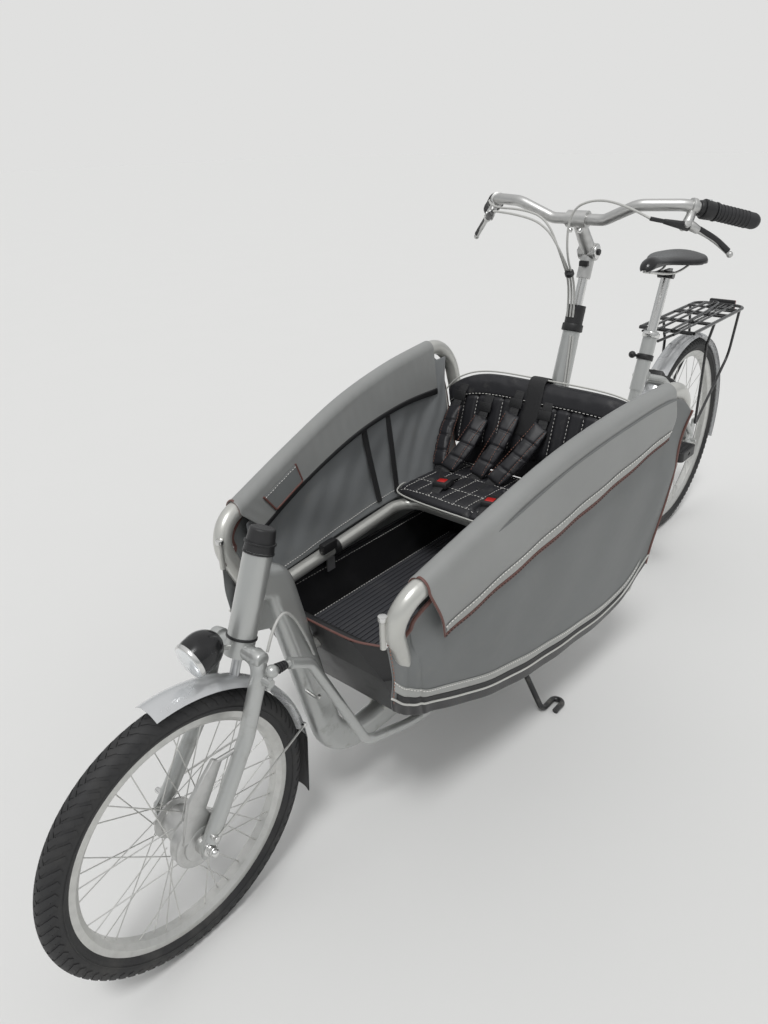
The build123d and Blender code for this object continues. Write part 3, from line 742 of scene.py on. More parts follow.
# Bench: padded seat and back with sewn channels, dashed stitching and white piping
bench = {"front": 0.258, "back": -0.018, "half": 0.231, "frontTop": 0.5105, "backTop": 0.498,
         "thick": 0.021,
         "frontRound": 0.20, "backRound": 0.04, "seams": (0.015, 0.085, 0.165, 0.232), "split": 0.10,
         "seatLines": 13, "backLines": 15, "lineStart": -0.252, "channel": 0.036, "plainBand": 0.060,
         "backNear": 0.0265, "backFar": 0.0605, "backLow": 0.372, "backTopMid": 0.570, "shoulder": 0.066,
         "wide": 0.29, "narrowHalf": 0.236, "flare": 0.052, "voxel": 0.0055, "cap": 0.006, "cuts": 46,
         "stitch": (0.0052, 0.0040, 0.0006), "topStitch": (0.0055, 0.0042, 0.0007), "lift": 0.0006,
         "above": 0.52, "before": 0.065, "stitchLow": 0.395, "piping": 0.0019, "seatPipe": 0.15,
         "backPipe": 0.7}


def seatTop(x):
    share = (x - bench["back"]) / (bench["front"] - bench["back"])
    return bench["backTop"] + share * (bench["frontTop"] - bench["backTop"])


def seatSpot(a, b, c):
    middle = (bench["front"] + bench["back"]) / 2
    half = (bench["front"] - bench["back"]) / 2
    corner = bench["frontRound"] if a > 0 else bench["backRound"]
    x = middle + half * a * sqrt(1 - corner * b ** 4)
    y = bench["half"] * b * sqrt(1 - corner * max(a, 0) ** 4)
    return Vector((x, y, seatTop(x) - bench["thick"] / 2 + c * bench["thick"] / 2))


def backHalf(w):
    return bench["narrowHalf"] + bench["flare"] * min(1.0, max(0.0, (w - 0.366) / 0.139))


def shoulder(share):
    return bench["shoulder"] * abs(share) ** 5


def backSpot(a, b, c):
    top = bench["backTopMid"] - shoulder(a)
    w = bench["backLow"] + (b + 1) / 2 * (top - bench["backLow"])
    middle = (bench["backNear"] + bench["backFar"]) / 2
    half = (bench["backFar"] - bench["backNear"]) / 2
    return on(columnAxis, middle + half * c, a * backHalf(w), w)


def groove(distance, width, depth):
    return depth * exp(-(distance / width) ** 2)


def sewn(piece, points, facing, stitch):
    return stitched(onto(piece, points, facing, bench["lift"]), *stitch)


def addBench():
    up, lean = (0, 0, 1), radians(columnAxis[2])
    seams, stitch = bench["seams"], bench["stitch"]
    lines = [bench["half"] * (-1 + 2 * k / bench["seatLines"]) for k in range(1, bench["seatLines"])]
    columns = [bench["lineStart"] + bench["channel"] * k for k in range(bench["backLines"])]
    bandLow = bench["backTopMid"] - bench["plainBand"]

    def seatDepth(place):
        near = min(abs(place.y - line) for line in lines)
        cross = min(abs(place.x - line) for line in seams)
        split = groove(place.y, 0.004, 0.006) if place.x > bench["split"] else 0.0
        inside = 1.0 if seams[0] < place.x < seams[-1] else 0.0
        return groove(near, 0.0035, 0.0026) * inside + groove(cross, 0.0035, 0.0026) + split

    def backDepth(place):
        w = -(place.x - columnAxis[0]) * cos(lean) + (place.z - columnAxis[1]) * sin(lean)
        near = min(abs(place.y - column) for column in columns)
        rail = bandLow - shoulder(place.y / bench["wide"])
        low = 1.0 if w < rail else 0.0
        return groove(near, 0.0042, 0.0050) * low + groove(w - rail, 0.0040, 0.0045)

    seat = puffed(moulded(bench["cuts"], seatSpot), bench["voxel"], bench["cap"])
    pressed(seat, seatDepth, up)
    settle(seat, "benchSeat", "black_padding", replaced=["bench_seat"])
    back = puffed(moulded(bench["cuts"], backSpot), bench["voxel"], bench["cap"])
    pressed(back, backDepth, forward)
    settle(back, "benchBack", "black_padding", replaced=["bench_back"])
    rows = []
    for y in columns:
        reach = bandLow - shoulder(y / bench["wide"]) - 0.006
        points = [on(columnAxis, bench["before"], y, w) for w in spaced(bench["stitchLow"], reach, 24)]
        rows.append(sewn(back, points, forward, stitch))
    points = [on(columnAxis, bench["before"], y, bandLow + 0.004 - shoulder(y / bench["wide"]))
              for y in spaced(-0.272, 0.272, 60)]
    rows.append(sewn(back, points, forward, bench["topStitch"]))
    rows += [sewn(seat, [(x, y, bench["above"]) for x in spaced(0.018, 0.230, 30)], up, stitch)
             for y in lines]
    rows += [sewn(seat, [(x, y, bench["above"]) for y in spaced(-0.212, 0.212, 40)], up, stitch)
             for x in seams]
    settle(rows, "benchStitches", "white_thread", "black_padding")
    low, high = bench["seatPipe"], bench["backPipe"]
    edge = [seatSpot(a, 1.01, low) for a in spaced(-0.8, 0.98, 10)]
    edge += [seatSpot(1.01, b, low) for b in spaced(0.90, -0.90, 24)]
    edge += [seatSpot(a, -1.01, low) for a in spaced(0.98, -0.8, 10)]
    rim = [backSpot(-1.0, b, high) for b in spaced(-0.8, 0.92, 10)]
    rim += [backSpot(a, 1.0, high) for a in spaced(-0.92, 0.92, 30)]
    rim += [backSpot(1.0, b, high) for b in spaced(0.92, -0.8, 10)]
    piping = join([tube(edge, bench["piping"]), tube(rim, bench["piping"])])
    settle(piping, "benchPiping", "pale_piping", "black_padding")


addBench()
print("bench padded and stitched")


# Harness: shoulder pads on straps, ladder adjusters, buckles with red buttons.
# A pad has the y and height of its top and the y and x of its low end; a buckle has its place
harness = {"width": 0.046, "thick": 0.013, "cap": 0.004, "cuts": 20, "voxel": 0.0045, "web": 0.025,
           "seamAt": 0.0165,
           "pads": [(-0.230, 0.470, -0.205, 0.080), (-0.149, 0.455, -0.178, 0.088),
                    (-0.066, 0.480, -0.098, 0.078), (0.016, 0.466, -0.046, 0.084)],
           "folds": (0.22, 0.47, 0.71), "stitch": (0.0040, 0.0030, 0.0005), "slide": (0.004, 0.034, 0.022),
           "buckles": [(0.173, -0.124, 0.522), (0.194, 0.023, 0.523)], "buckle": (0.052, 0.036, 0.015),
           "button": (0.024, 0.020, 0.004), "turn": (0, radians(-6), radians(14)),
           "webSteps": [(-0.07, -0.012, -0.010), (-0.03, -0.004, -0.002), (0.02, 0.004, 0.0),
                        (0.050, 0.006, -0.014)],
           "overY": -0.025, "overWidth": 0.044,
           "over": [(0.0665, -0.012, 0.43), (0.0680, 0, 0.50), (0.0665, 0, 0.560), (0.045, 0, 0.5745),
                    (0.0245, 0, 0.560), (0.0225, 0, 0.47)]}


def ribbon(points, width, across):
    half = Vector(across).normalized() * (width / 2)
    return laid(lambda u, v: along(points, u) + half * (2 * v - 1), 6 * len(points), 3, 0.0016)


def addHarness():
    pads, straps, seams, slides = [], [], [], []
    level = (0, 1, 0)
    for topY, topW, lowY, lowX in harness["pads"]:
        top = on(columnAxis, 0.0745, topY, topW)
        low = Vector((lowX, lowY, seatTop(lowX) + 0.012))
        line = top - low
        sideways = line.cross(Vector((1, 0, 0))).normalized()
        square = sideways.cross(line).normalized()
        if square.x < 0:
            square = -square
        bend = 0.010 if topY > -0.2 else -0.006

        def padSpot(a, b, c):
            bow = sin(pi * (b + 1) / 2)
            wide = harness["width"] / 2 * (1 - 0.10 * b * b)
            return (low + line * ((b + 1) / 2) + sideways * (a * wide + bend * bow)
                    + square * (c * harness["thick"] / 2 + 0.004 * bow))

        def padDepth(place):
            share = (place - low).dot(line) / line.length_squared
            offset = abs((place - low).dot(sideways))
            folds = sum(groove((share - f) * line.length - 0.12 * offset, 0.0035, 0.0030)
                        for f in harness["folds"])
            return folds + groove(offset - harness["seamAt"], 0.0022, 0.0016)

        pad = puffed(moulded(harness["cuts"], padSpot), harness["voxel"], harness["cap"])
        pads.append(pressed(pad, padDepth, square))
        for shift in (harness["seamAt"], -harness["seamAt"]):
            edge = [low + line * s + sideways * shift + square * 0.02 for s in spaced(0.05, 0.95, 20)]
            seams.append(stitched(onto(pad, edge, square, 0.0005), *harness["stitch"]))
        slot = on(columnAxis, 0.0665, topY * 0.96, min(topW + 0.055, 0.545))
        upper = [top - line * 0.05 + square * 0.004, top + square * 0.003, slot]
        straps.append(ribbon(upper, harness["web"], level))
        tail = Vector((lowX + 0.050, lowY * 0.8 - 0.01, seatTop(lowX + 0.05) + 0.0045))
        lower = [low + line * 0.06 + square * 0.002, low - line * 0.05, tail]
        straps.append(ribbon(lower, harness["web"], sideways))
        slides.append(blockAt(top + (slot - top) * 0.45 + forward * 0.004, harness["slide"], 0.0012,
                              (0, radians(-17), 0)))
    for place in harness["buckles"]:
        slides.append(blockAt(place, harness["buckle"], 0.004, harness["turn"]))
        webs = [Vector(place) + Vector(step) for step in harness["webSteps"]]
        straps.append(ribbon(webs, harness["web"], level))
    over = [on(columnAxis, u, harness["overY"] + y, w) for u, y, w in harness["over"]]
    straps.append(ribbon(over, harness["overWidth"], level))
    settle(pads, "harnessPads", "black_padding")
    settle(straps, "harnessStraps", "webbing", "black_padding")
    settle(seams, "padStitches", "brown_thread", "black_padding")
    settle(slides, "harnessBuckles", "black_plastic")
    places = [Vector(place) + Vector((0.004, 0, 0.0068)) for place in harness["buckles"]]
    buttons = [blockAt(place, harness["button"], 0.0012, harness["turn"]) for place in places]
    settle(buttons, "buckleButtons", "red_button", "red_lens")


addHarness()
print("harness fitted")


# Loose straps and pocket on the right side's lining, straps and plate on its rail, skirt below the backrest
walls = {"straps": [[(0.50, 0.10), (0.52, 0.45), (0.55, 0.95)],
                    [(0.585, 0.08), (0.605, 0.40), (0.64, 0.95)]],
         "strapWidth": 0.018, "pocket": (0.10, 0.23, 0.06, 0.26), "pocketStitch": (0.0042, 0.0030, 0.0006),
         "railClips": (0.47, 0.63), "rail": (-0.199, 0.455), "buckleAt": (0.500, -0.184, 0.476),
         "buckle": (0.044, 0.016, 0.022),
         "plateAt": (0.488, -0.192, 0.430), "plate": (0.024, 0.004, 0.042)}


def addWallFittings():
    inward = Vector((0, 1, 0))
    lining = raised(liningAt(-1), 0.004, inward)
    straps = [ribbon([lining(u, v) for u, v in line], walls["strapWidth"], (1, 0, 0.1))
              for line in walls["straps"]]
    settle(straps, "wallStraps", "webbing", "black_padding")
    pocket = raised(flapAt(-1), 0.0032, inward)
    left, right, top, hem = walls["pocket"]
    flap = laid(lambda u, v: pocket(left + (right - left) * u, top + (hem - top) * v), 12, 8, 0.0016)
    settle(flap, "pocketFlap", "grey_tarpaulin")
    edge = [pocket(left, v) for v in spaced(hem, top, 6)]
    edge += [pocket(u, top) for u in spaced(left, right, 6)[1:]]
    edge += [pocket(right, v) for v in spaced(top, hem, 6)[1:]]
    settle(tube(edge, 0.0022), "pocketBinding", "brown_binding", "grey_tarpaulin")
    seam = [pocket(u, 0.24) + inward * 0.001 for u in spaced(0.105, 0.225, 10)]
    settle(stitched(seam, *walls["pocketStitch"]), "pocketStitches", "white_thread", "grey_tarpaulin")
    clips = [rodBetween((x - 0.012, *walls["rail"]), (x + 0.012, *walls["rail"]), 0.0165, rim=0.002)
             for x in walls["railClips"]]
    clips.append(blockAt(walls["buckleAt"], walls["buckle"], 0.003, (0, 0, radians(4))))
    settle(clips, "railStraps", "black_plastic", "black_padding")
    settle(blockAt(walls["plateAt"], walls["plate"], 0.0012), "railPlate", "silver_alloy")


def addSkirt():
    skirt = laid(lambda u, v: Vector((-0.020 - 0.018 * v, 0.205 - 0.41 * u, 0.492 + 0.075 * v)), 24, 6,
                 0.003)
    settle(skirt, "backSkirt", "black_padding")


addWallFittings()
addSkirt()
print("wall straps, pocket, rail straps and skirt")


# Tyres: round carcass with slanted tread blocks in six rows and a ridge on each wall.
# A row has its section angle, the blocks' width and their slant
tyres = {"front": {"at": (1.04125, 0.250), "radius": 0.250, "count": 78, "body": "front_wheel"},
         "rear": {"at": (-0.94875, 0.3265), "radius": 0.3265, "count": 100, "body": "rear_wheel"},
         "half": 0.0235, "tread": 0.0013, "block": 0.0165, "ridge": 0.0012, "ridgeIn": 0.006, "turns": 132,
         "rows": [(-1.05, 0.0088, 52), (-0.62, 0.0098, 44), (-0.20, 0.0088, 34), (0.20, 0.0088, -34),
                  (0.62, 0.0098, -44), (1.05, 0.0088, -52)]}


def treadBlock(lean, wide, skew, shift, middle, half):
    # One block, bent on to the carcass at its section angle
    bpy.ops.mesh.primitive_cube_add(size=1, scale=(tyres["block"], wide, tyres["tread"] * 2))
    block = edit(applied(), lambda: bpy.ops.mesh.subdivide(number_cuts=2))
    turn = Matrix.Rotation(radians(skew), 4, "Z")
    for vertex in block.data.vertices:
        x, y, z = turn @ vertex.co
        section = lean + y / half
        reach = half + z
        radius = middle + reach * cos(section)
        angle = shift + x / (middle + half)
        vertex.co = (radius * sin(angle), reach * sin(section), radius * cos(angle))
    return block


def hoopAt(place, radius, thick, sides):
    bpy.ops.mesh.primitive_torus_add(major_radius=radius, minor_radius=thick, major_segments=tyres["turns"],
                                     minor_segments=sides, location=place, rotation=(pi / 2, 0, 0))
    return applied()


def addTyre(which):
    size, ridge = tyres[which], tyres["ridge"]
    x, z = size["at"]
    half = tyres["half"] - tyres["tread"] * 0.5
    middle = size["radius"] - tyres["tread"] - half
    pieces = [hoopAt((x, 0, z), middle, half, 28)]
    pieces += [hoopAt((x, hand * (half - ridge / 2), z), middle - tyres["ridgeIn"], ridge, 8)
               for hand in (1, -1)]
    pitch = 2 * pi / size["count"]
    block = join([treadBlock(*row, number % 2 * pitch / 2, middle, half)
                  for number, row in enumerate(tyres["rows"])])
    block.location = (x, 0, z)
    bpy.ops.object.empty_add(location=(x, 0, z), rotation=(0, pitch, 0))
    turn = bpy.context.object
    modify(block, "ARRAY", count=size["count"], use_relative_offset=False, use_object_offset=True,
           offset_object=turn)
    bpy.data.objects.remove(turn)
    pick(block)
    pieces.append(applied())
    settle(pieces, which + "Tyre", "tyre", body=size["body"], replaced=[which + "_tyre"])


for which in ("front", "rear"):
    addTyre(which)
print("tyres treaded")


# Controls on the handlebar: brake levers, twist barrels, grips and cables.
# On a lever, places are along the bar, out from it and sideways, and a rod has its ends, radii and rim
controls = {"bend": (-0.173, 0.225, 1.112), "barLine": (-0.74, 0.63, -0.234),
            "leverLine": (0.4698, 0.2365, -0.8501),
            "leverAt": 0.014, "barEnd": 0.154, "grip": 0.090, "barrel": 0.026, "ridges": 9, "cable": 0.0025,
            "lever": [((-0.0045, 0), (0.006, 0), 0.0165, None, 0.0015),
                      ((0.001, 0.010), (-0.012, 0.046), 0.0085, 0.0115, 0.002),
                      ((-0.004, 0.040), (0.018, 0.047), 0.0105, 0.0080, 0.002),
                      ((-0.014, 0.044, -0.011), (-0.014, 0.044, 0.011), 0.007, None, 0.001)],
            "nose": [((-0.006, 0.044), (-0.062, 0.045), 0.0095, 0.005, 0.001),
                     ((-0.060, 0.045), (-0.093, 0.046), 0.0042, None, 0.0008)],
            "blade": [(-0.014, 0.044), (0.014, 0.046), (0.064, 0.062), (0.094, 0.082)],
            "cover": [(0.018, 0.0455, -0.0018), (0.040, 0.0520, -0.0018), (0.064, 0.0612, -0.0018),
                      (0.088, 0.0770, -0.0018)],
            "bladeRadius": 0.0052, "coverRadius": 0.0064}
cableRoutes = {
    "brakeCableLeft": [(-0.0929, 0.1861, 1.0914), (-0.0909, 0.136, 1.114), (-0.0909, 0.066, 1.126),
                       (-0.0909, 0.008, 1.102), (-0.0924, 0.006, 1.0077), (-0.155, 0.006, 0.9321),
                       (-0.1494, 0.006, 0.8639)],
    "brakeCableRight": [(-0.0929, -0.1861, 1.0914), (-0.0909, -0.136, 1.090), (-0.0909, -0.050, 1.072),
                        (-0.0924, -0.001, 1.0077), (-0.155, -0.001, 0.9321), (-0.1494, -0.001, 0.8639)],
    "gearCable": [(-0.1789, -0.2541, 1.1063), (-0.1256, -0.2178, 1.0962), (-0.1009, -0.112, 1.098),
                  (-0.1009, -0.050, 1.080), (-0.0991, -0.009, 1.0056), (-0.155, -0.009, 0.9321),
                  (-0.1494, -0.009, 0.8639)],
}


def leverPoint(hand, down, out, sideways=0.0):
    bar, lever = Vector(controls["barLine"]).normalized(), Vector(controls["leverLine"]).normalized()
    place = Vector(controls["bend"]) + bar * (controls["leverAt"] + down) + lever * out
    return mirrored(place + bar.cross(lever) * sideways, hand)


def leverRods(hand, rows):
    return [rodBetween(leverPoint(hand, *start), leverPoint(hand, *end), *size)
            for start, end, *size in rows]


def routeOf(route):
    # Points along the route's own smooth spline, as Blender gives them for a curve with no bevel
    holder = curveOf(route)
    path = [tuple(vertex.co) for vertex in bpy.data.meshes.new_from_object(holder).vertices]
    bpy.data.objects.remove(holder)
    return path


def lengthOf(path):
    return sum((Vector(a) - Vector(b)).length for a, b in zip(path, path[1:]))


def addGrip(hand, name):
    line = mirrored(Vector(controls["barLine"]).normalized(), hand)
    end = mirrored(controls["bend"], hand) + line * controls["barEnd"]
    start = end - line * controls["grip"]
    inner = start - line * 0.001
    after = inner - line * controls["barrel"]
    twist = [rodBetween(inner, after, 0.0180, 0.0200, 0.002, 40),
             rodBetween(after - line * 0.0005, after - line * 0.010, 0.0170, 0.0150, 0.0015)]
    settle(twist, "twistBarrel_" + name, "black_plastic", body="handlebar")
    shown = blockAt(inner - line * 0.013 + Vector((0, 0, 0.0185)), (0.012, 0.010, 0.003), 0.001)
    settle(shown, "gearWindow_" + name, "clear_lens", "silver_alloy", "handlebar")
    parts = [rodBetween(end + line * 0.003, start, 0.0165, 0.0160, turns=40),
             ballAt(end + line * 0.002, 0.0162)]
    for k in range(controls["ridges"]):
        spot = end - line * (0.012 + 0.0085 * k)
        parts.append(rodBetween(spot, spot - line * 0.0035, 0.0174, rim=0.0008, turns=36))
    parts.append(rodBetween(start + line * 0.005, start, 0.0190, rim=0.0015, turns=36))
    settle(parts, "grip_" + name, "grip_rubber", body="handlebar", replaced=["grip_" + name])


def addControls():
    noses = []
    for hand, name in hands:
        line = [leverPoint(hand, *spot) for spot in controls["blade"]]
        blade = [tube(line, controls["bladeRadius"], 8, 16), ballAt(line[-1], 0.0066)]
        lever = join(leverRods(hand, controls["lever"]) + blade)
        settle(lever, "brakeLever_" + name, "silver_alloy", body="handlebar")
        nose = join(leverRods(hand, controls["nose"]))
        noses.append(settle(nose, "leverNose_" + name, "black_plastic", body="handlebar"))
        line = [leverPoint(hand, *spot) for spot in controls["cover"]]
        cover = tube(line, controls["coverRadius"], 8, 16)
        settle(cover, "leverCover_" + name, "black_plastic", body="handlebar")
        addGrip(hand, name)
    for (name, route), ends in zip(cableRoutes.items(), ([noses[0]], [noses[1]], [])):
        cable = tube(route, controls["cable"], 10, 12)
        settle(cable, name, "cable_sleeve", "silver_alloy", "handlebar")
        path = routeOf(route)[::-1]
        tuple(path[0])
        lengthOf(path)
        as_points(path)


addControls()
print("levers, barrels, grips and cables")


# Column: stem caps and bolts, collar rings, and the two cables that run down the housing
column = {"pivot": 0.872, "clamp": (-0.147, 0, 1.078), "shifts": (0, 15), "lift": 0.0007,
          "run": ((0.680, 26), (0.600, 45), (0.480, 66), (0.070, 76)),
          "rings": [(0.6905, 0.708, 0.0245, 0.0240, 0.002, 40),
                    (0.7365, 0.7505, 0.0215, 0.0205, 0.002, 40)]}


def addColumn():
    pivot, clamp = on(columnAxis, 0, 0, column["pivot"]), Vector(column["clamp"])

    def acrossPivot(start, end, *size):
        return [rodBetween(pivot + Vector((0, hand * start, 0)), pivot + Vector((0, hand * end, 0)), *size)
                for hand in (1, -1)]

    caps = acrossPivot(0.0190, 0.0225, 0.0165, 0.015, 0.001)
    for y in (-0.012, 0.012):
        head = clamp + Vector((0.008, y, -0.020))
        caps.append(rodBetween(head, head + Vector((0.004, 0, -0.006)), 0.0055, rim=0.001))
    settle(caps, "stemCaps", "polished_alloy", body="handlebar")
    bolts = acrossPivot(0.0225, 0.0275, 0.0075, None, 0.001, 6)
    bolts.append(blockAt(on(columnAxis, 0.020, 0.004, 0.842), (0.010, 0.022, 0.012), 0.002))
    settle(bolts, "stemBolts", "black_plastic", body="handlebar")
    rings = [ringOn(columnAxis, *ring) for ring in column["rings"]]
    settle(rings, "collarRings", "black_plastic", body="handlebar")
    runs = []
    for shift in column["shifts"]:
        route = []
        for w, angle in column["run"]:
            wall = 0.020 + 0.009 * (0.690 - w) / 0.728
            reach, turn = wall + controls["cable"] + column["lift"], radians(angle + shift)
            route.append(on(columnAxis, reach * cos(turn), reach * sin(turn), w))
        runs.append(tube(route, controls["cable"], 12, 12))
    settle(runs, "housingCables", "cable_sleeve", "silver_paint")


addColumn()
print("column dressed")


# Fork: shoulder discs, axle nuts, brake plate, stays, flap, lamp, the rod's boot and the looped cable.
# The plate's outline is x and z from the axle; rods across the axle have y of both ends, radii, rim and sides
fork = {"axle": (1.04125, 0.250), "discs": -0.0164, "nut": (0.0655, 0.0765, 0.0095, 0.0090, 0.001, 6),
        "washer": (0.0650, 0.0670, 0.0125, None, 0.0006), "nutEnd": (0.0770, 0.0072),
        "plate": [(0.034, 0.020), (0.012, 0.093), (-0.043, 0.143), (-0.058, 0.131), (-0.016, 0.062),
                  (-0.034, 0.020)],
        "plateAt": (0.0436, 0.008, 0.0015), "plateRod": (-0.047, 0.0436, 0.134),
        "drum": [(0.0368, 0.0480, 0.034, 0.0325, 0.0015, 48), (0.0360, 0.0415, 0.0470, None, 0.0012, 56)],
        "hub": (0.0470, 0.0590, 0.0160, 0.0150, 0.001), "screws": 6, "screwRing": 0.041,
        "screw": (0.0410, 0.0430, 0.0022, None, 0.0004, 10), "stayAt": (-0.006, 0.026),
        "stud": (0.062, 0.0815, 0.0050), "guardReach": 0.255, "guardLean": 14, "guardHalf": 0.0305,
        "flapReach": 0.266, "flapLean": 4, "flapLength": 0.125, "flapHalf": 0.0275,
        "lampReach": 0.078, "lampDrop": -0.014, "lampRadius": 0.032, "lampBack": 0.0365,
        "lampFront": 0.0225,
        "lensRadius": 0.0292, "lensDepth": 0.0075, "boot": (0.080, -0.026), "bootRings": (2, 3, 4, 5),
        "cable": [(0.8748, 0.0520, 0.5295), (0.850, 0.050, 0.585), (0.798, 0.038, 0.560),
                  (0.752, 0.0245, 0.440)]}


def acrossAxle(place, hand, start, end, *size):
    x, z = fork["axle"][0] + place[0], fork["axle"][1] + place[1]
    return rodBetween((x, hand * start, z), (x, hand * end, z), *size)


def addBrakePlate():
    x, z = fork["axle"]
    middle, ring = (0, 0), fork["screwRing"]
    bits = [plateOf([(x + dx, z + dz) for dx, dz in fork["plate"]], *fork["plateAt"])]
    bits += [acrossAxle(middle, 1, *step) for step in fork["drum"]]
    rod = Vector((x, 0, z)) + Vector(fork["plateRod"])
    bits.append(rodBetween(rod, on(headAxis, 0.006, 0.052, -0.166), 0.004))
    bits.append(acrossAxle(middle, 1, *fork["hub"]))
    for step in range(fork["screws"]):
        a = 2 * pi * step / fork["screws"]
        bits.append(acrossAxle((ring * cos(a), ring * sin(a)), 1, *fork["screw"]))
    settle(bits, "brakePlate", "silver_alloy", body="fork")


def flapSpot(u, v):
    x, z = fork["axle"]
    reach, lean = fork["flapReach"], radians(fork["flapLean"])
    across = 2 * u - 1
    bow = 0.011 * across * across * (1 - 0.5 * v)
    return Vector((x - reach * cos(lean) + bow + 0.0015 + 0.010 * v,
                   fork["flapHalf"] * across * (1 - 0.10 * v),
                   reach * sin(lean) + z - v * fork["flapLength"]))


def addLamp():
    lamp = on(headAxis, fork["lampReach"], 0, fork["lampDrop"])
    facing = Vector((1, 0, -0.25)).normalized()
    turn = facing.to_track_quat("Z", "Y").to_matrix().to_4x4()
    radius, back, front = fork["lampRadius"], fork["lampBack"], fork["lampFront"]
    dome = ballAt((0, 0, 0), 1.0)
    for vertex in dome.data.vertices:
        x, y, z = vertex.co
        vertex.co = (x * radius, y * radius, z * back if z < 0 else min(z * 3, 1) * front)
    dome.data.transform(Matrix.Translation(lamp) @ turn)
    settle(dome, "lampShell", "lamp_shell", "black_plastic", "fork", ["head_lamp"])
    rim = rodBetween(lamp + facing * 0.019, lamp + facing * 0.0262, 0.0318, 0.0300, 0.0012, 48)
    settle(rim, "lampRim", "polished_alloy", body="fork")
    radius, depth = fork["lensRadius"], fork["lensDepth"]
    lens = ballAt((0, 0, 0), 1.0)
    for vertex in lens.data.vertices:
        x, y, z = vertex.co
        ripple = 0.0006 * sin(x * 34) if z > 0.05 else 0.0
        vertex.co = (x * radius, y * radius, z * depth + ripple)
    lens.data.transform(Matrix.Translation(lamp + facing * 0.0245) @ turn)
    settle(lens, "lampLens", "clear_lens", "polished_alloy", "fork")


def addFork():
    x, z = fork["axle"]
    discs, nuts, stays = [], [], []
    for hand in (1, -1):
        disc = [on(headAxis, 0.004, hand * y, fork["discs"]) for y in (0.040, 0.0610)]
        discs.append(rodBetween(*disc, 0.0158, 0.0128, 0.003, 36))
        nuts.append(acrossAxle((0, 0), hand, *fork["nut"]))
        nuts.append(ballAt((x, hand * fork["nutEnd"][0], z), fork["nutEnd"][1]))
        nuts.append(acrossAxle((0, 0), hand, *fork["washer"]))
    settle(discs, "crownShoulders", "silver_paint", body="fork")
    addBrakePlate()
    reach, lean = fork["guardReach"], radians(fork["guardLean"])
    dx, dz = fork["stayAt"]
    for hand in (1, -1):
        end = Vector((x - reach * cos(lean), hand * fork["guardHalf"], z + reach * sin(lean)))
        stays.append(rodBetween((x + dx, hand * 0.0787, z + dz), end, 0.0020, turns=12))
        nuts.append(acrossAxle(fork["stayAt"], hand, *fork["stud"], None, 0.0008))
        ends = [end + Vector((0, hand * y, 0)) for y in (-0.004, 0.003)]
        nuts.append(rodBetween(*ends, 0.0045, rim=0.0008))
    settle(stays, "guardStays", "zinc_wire", body="fork")
    settle(nuts, "axleNuts", "polished_alloy", body="fork")
    settle(laid(flapSpot, 16, 18, 0.0028), "mudFlap", "flap_rubber", "black_plastic", "fork")
    addLamp()
    boot = on(headAxis, 0, *fork["boot"])
    rings = []
    for k in fork["bootRings"]:
        start = boot + Vector((-0.005 * k, 0, -0.0007 * k))
        radius = 0.0104 - 0.0005 * k
        rings.append(rodBetween(start, start - Vector((0.0038, 0, 0)), radius, radius - 0.001, 0.0008))
    settle(rings, "rodBoot", "grip_rubber", body="tie_rod")
    path = routeOf(fork["cable"])
    cable = tube(fork["cable"], controls["cable"], 10, 12)
    cable.name = "forkCable"
    cable.data.materials.clear()
    cable.data.materials.append(finishes["cable_sleeve"])
    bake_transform(cable)
    tuple(path[-1])
    lengthOf(path)
    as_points(path[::-1])


addFork()
print("fork, lamp, brake and flap")


# Rear: saddle on its rails, seat clamps, ring lock, and treads and reflectors of the pedals
rear = {"noseHalf": 0.021, "railRadius": 0.0034, "lockAt": (-0.73925, 0, 0.5454), "lockLift": 0.0193,
        "lockRadius": 0.049, "lockThick": 0.0092, "lockSweep": 128, "lockBlock": (0.028, 0.058, 0.026),
        "stayLine": (-0.803, 0, -0.596), "acrossLine": (-0.596, 0, 0.803), "knobAt": (0.032, -0.026, 0.407),
        "glass": (0.0024, 0.046, 0.015), "treads": 9, "treadIn": 0.012}


def saddleSpot(a, b, c):
    low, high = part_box("saddle")
    share = (a + 1) / 2
    widest, nose = high[1], rear["noseHalf"]
    half = nose + (widest - nose) / (1 + exp((share - 0.40) * 15))
    half *= sqrt(max(0.02, 1 - max(0.0, (0.16 - share) / 0.20) ** 2))
    half *= sqrt(max(0.02, 1 - max(0.0, (share - 0.90) / 0.108) ** 2))
    tip = max(0.0, (share - 0.84) / 0.16) ** 2
    dish = -0.009 * sin(pi * min(1, share * 1.25)) + 0.004 * share
    crown = (high[2] - 0.001) + dish - 0.012 * b * b - 0.022 * tip
    skirt = low[2] + 0.004 + 0.016 * min(1, share * 1.6) - 0.006 * tip
    return Vector((low[0] + (high[0] - low[0]) * share, b * half * (1.0 if c > -0.5 else 0.90),
                   skirt + (crown - skirt) * (c + 1) / 2))


def addSaddle():
    low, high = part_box("saddle")
    x0, x1, base = low[0], high[0], low[2]
    piece = modify(moulded(30, saddleSpot), "SUBSURF", levels=1, render_levels=1)
    settle(piece, "saddle", "saddle_cover", replaced=["saddle"])
    wires = [tube([(x0 + 0.030, hand * 0.034, base + 0.008), (x0 + 0.060, hand * 0.026, base - 0.006),
                   (x0 + 0.150, hand * 0.022, base - 0.008), (x1 - 0.020, hand * 0.008, base + 0.012)],
                  rear["railRadius"]) for hand in (1, -1)]
    settle(wires, "saddleRails", "zinc_wire")


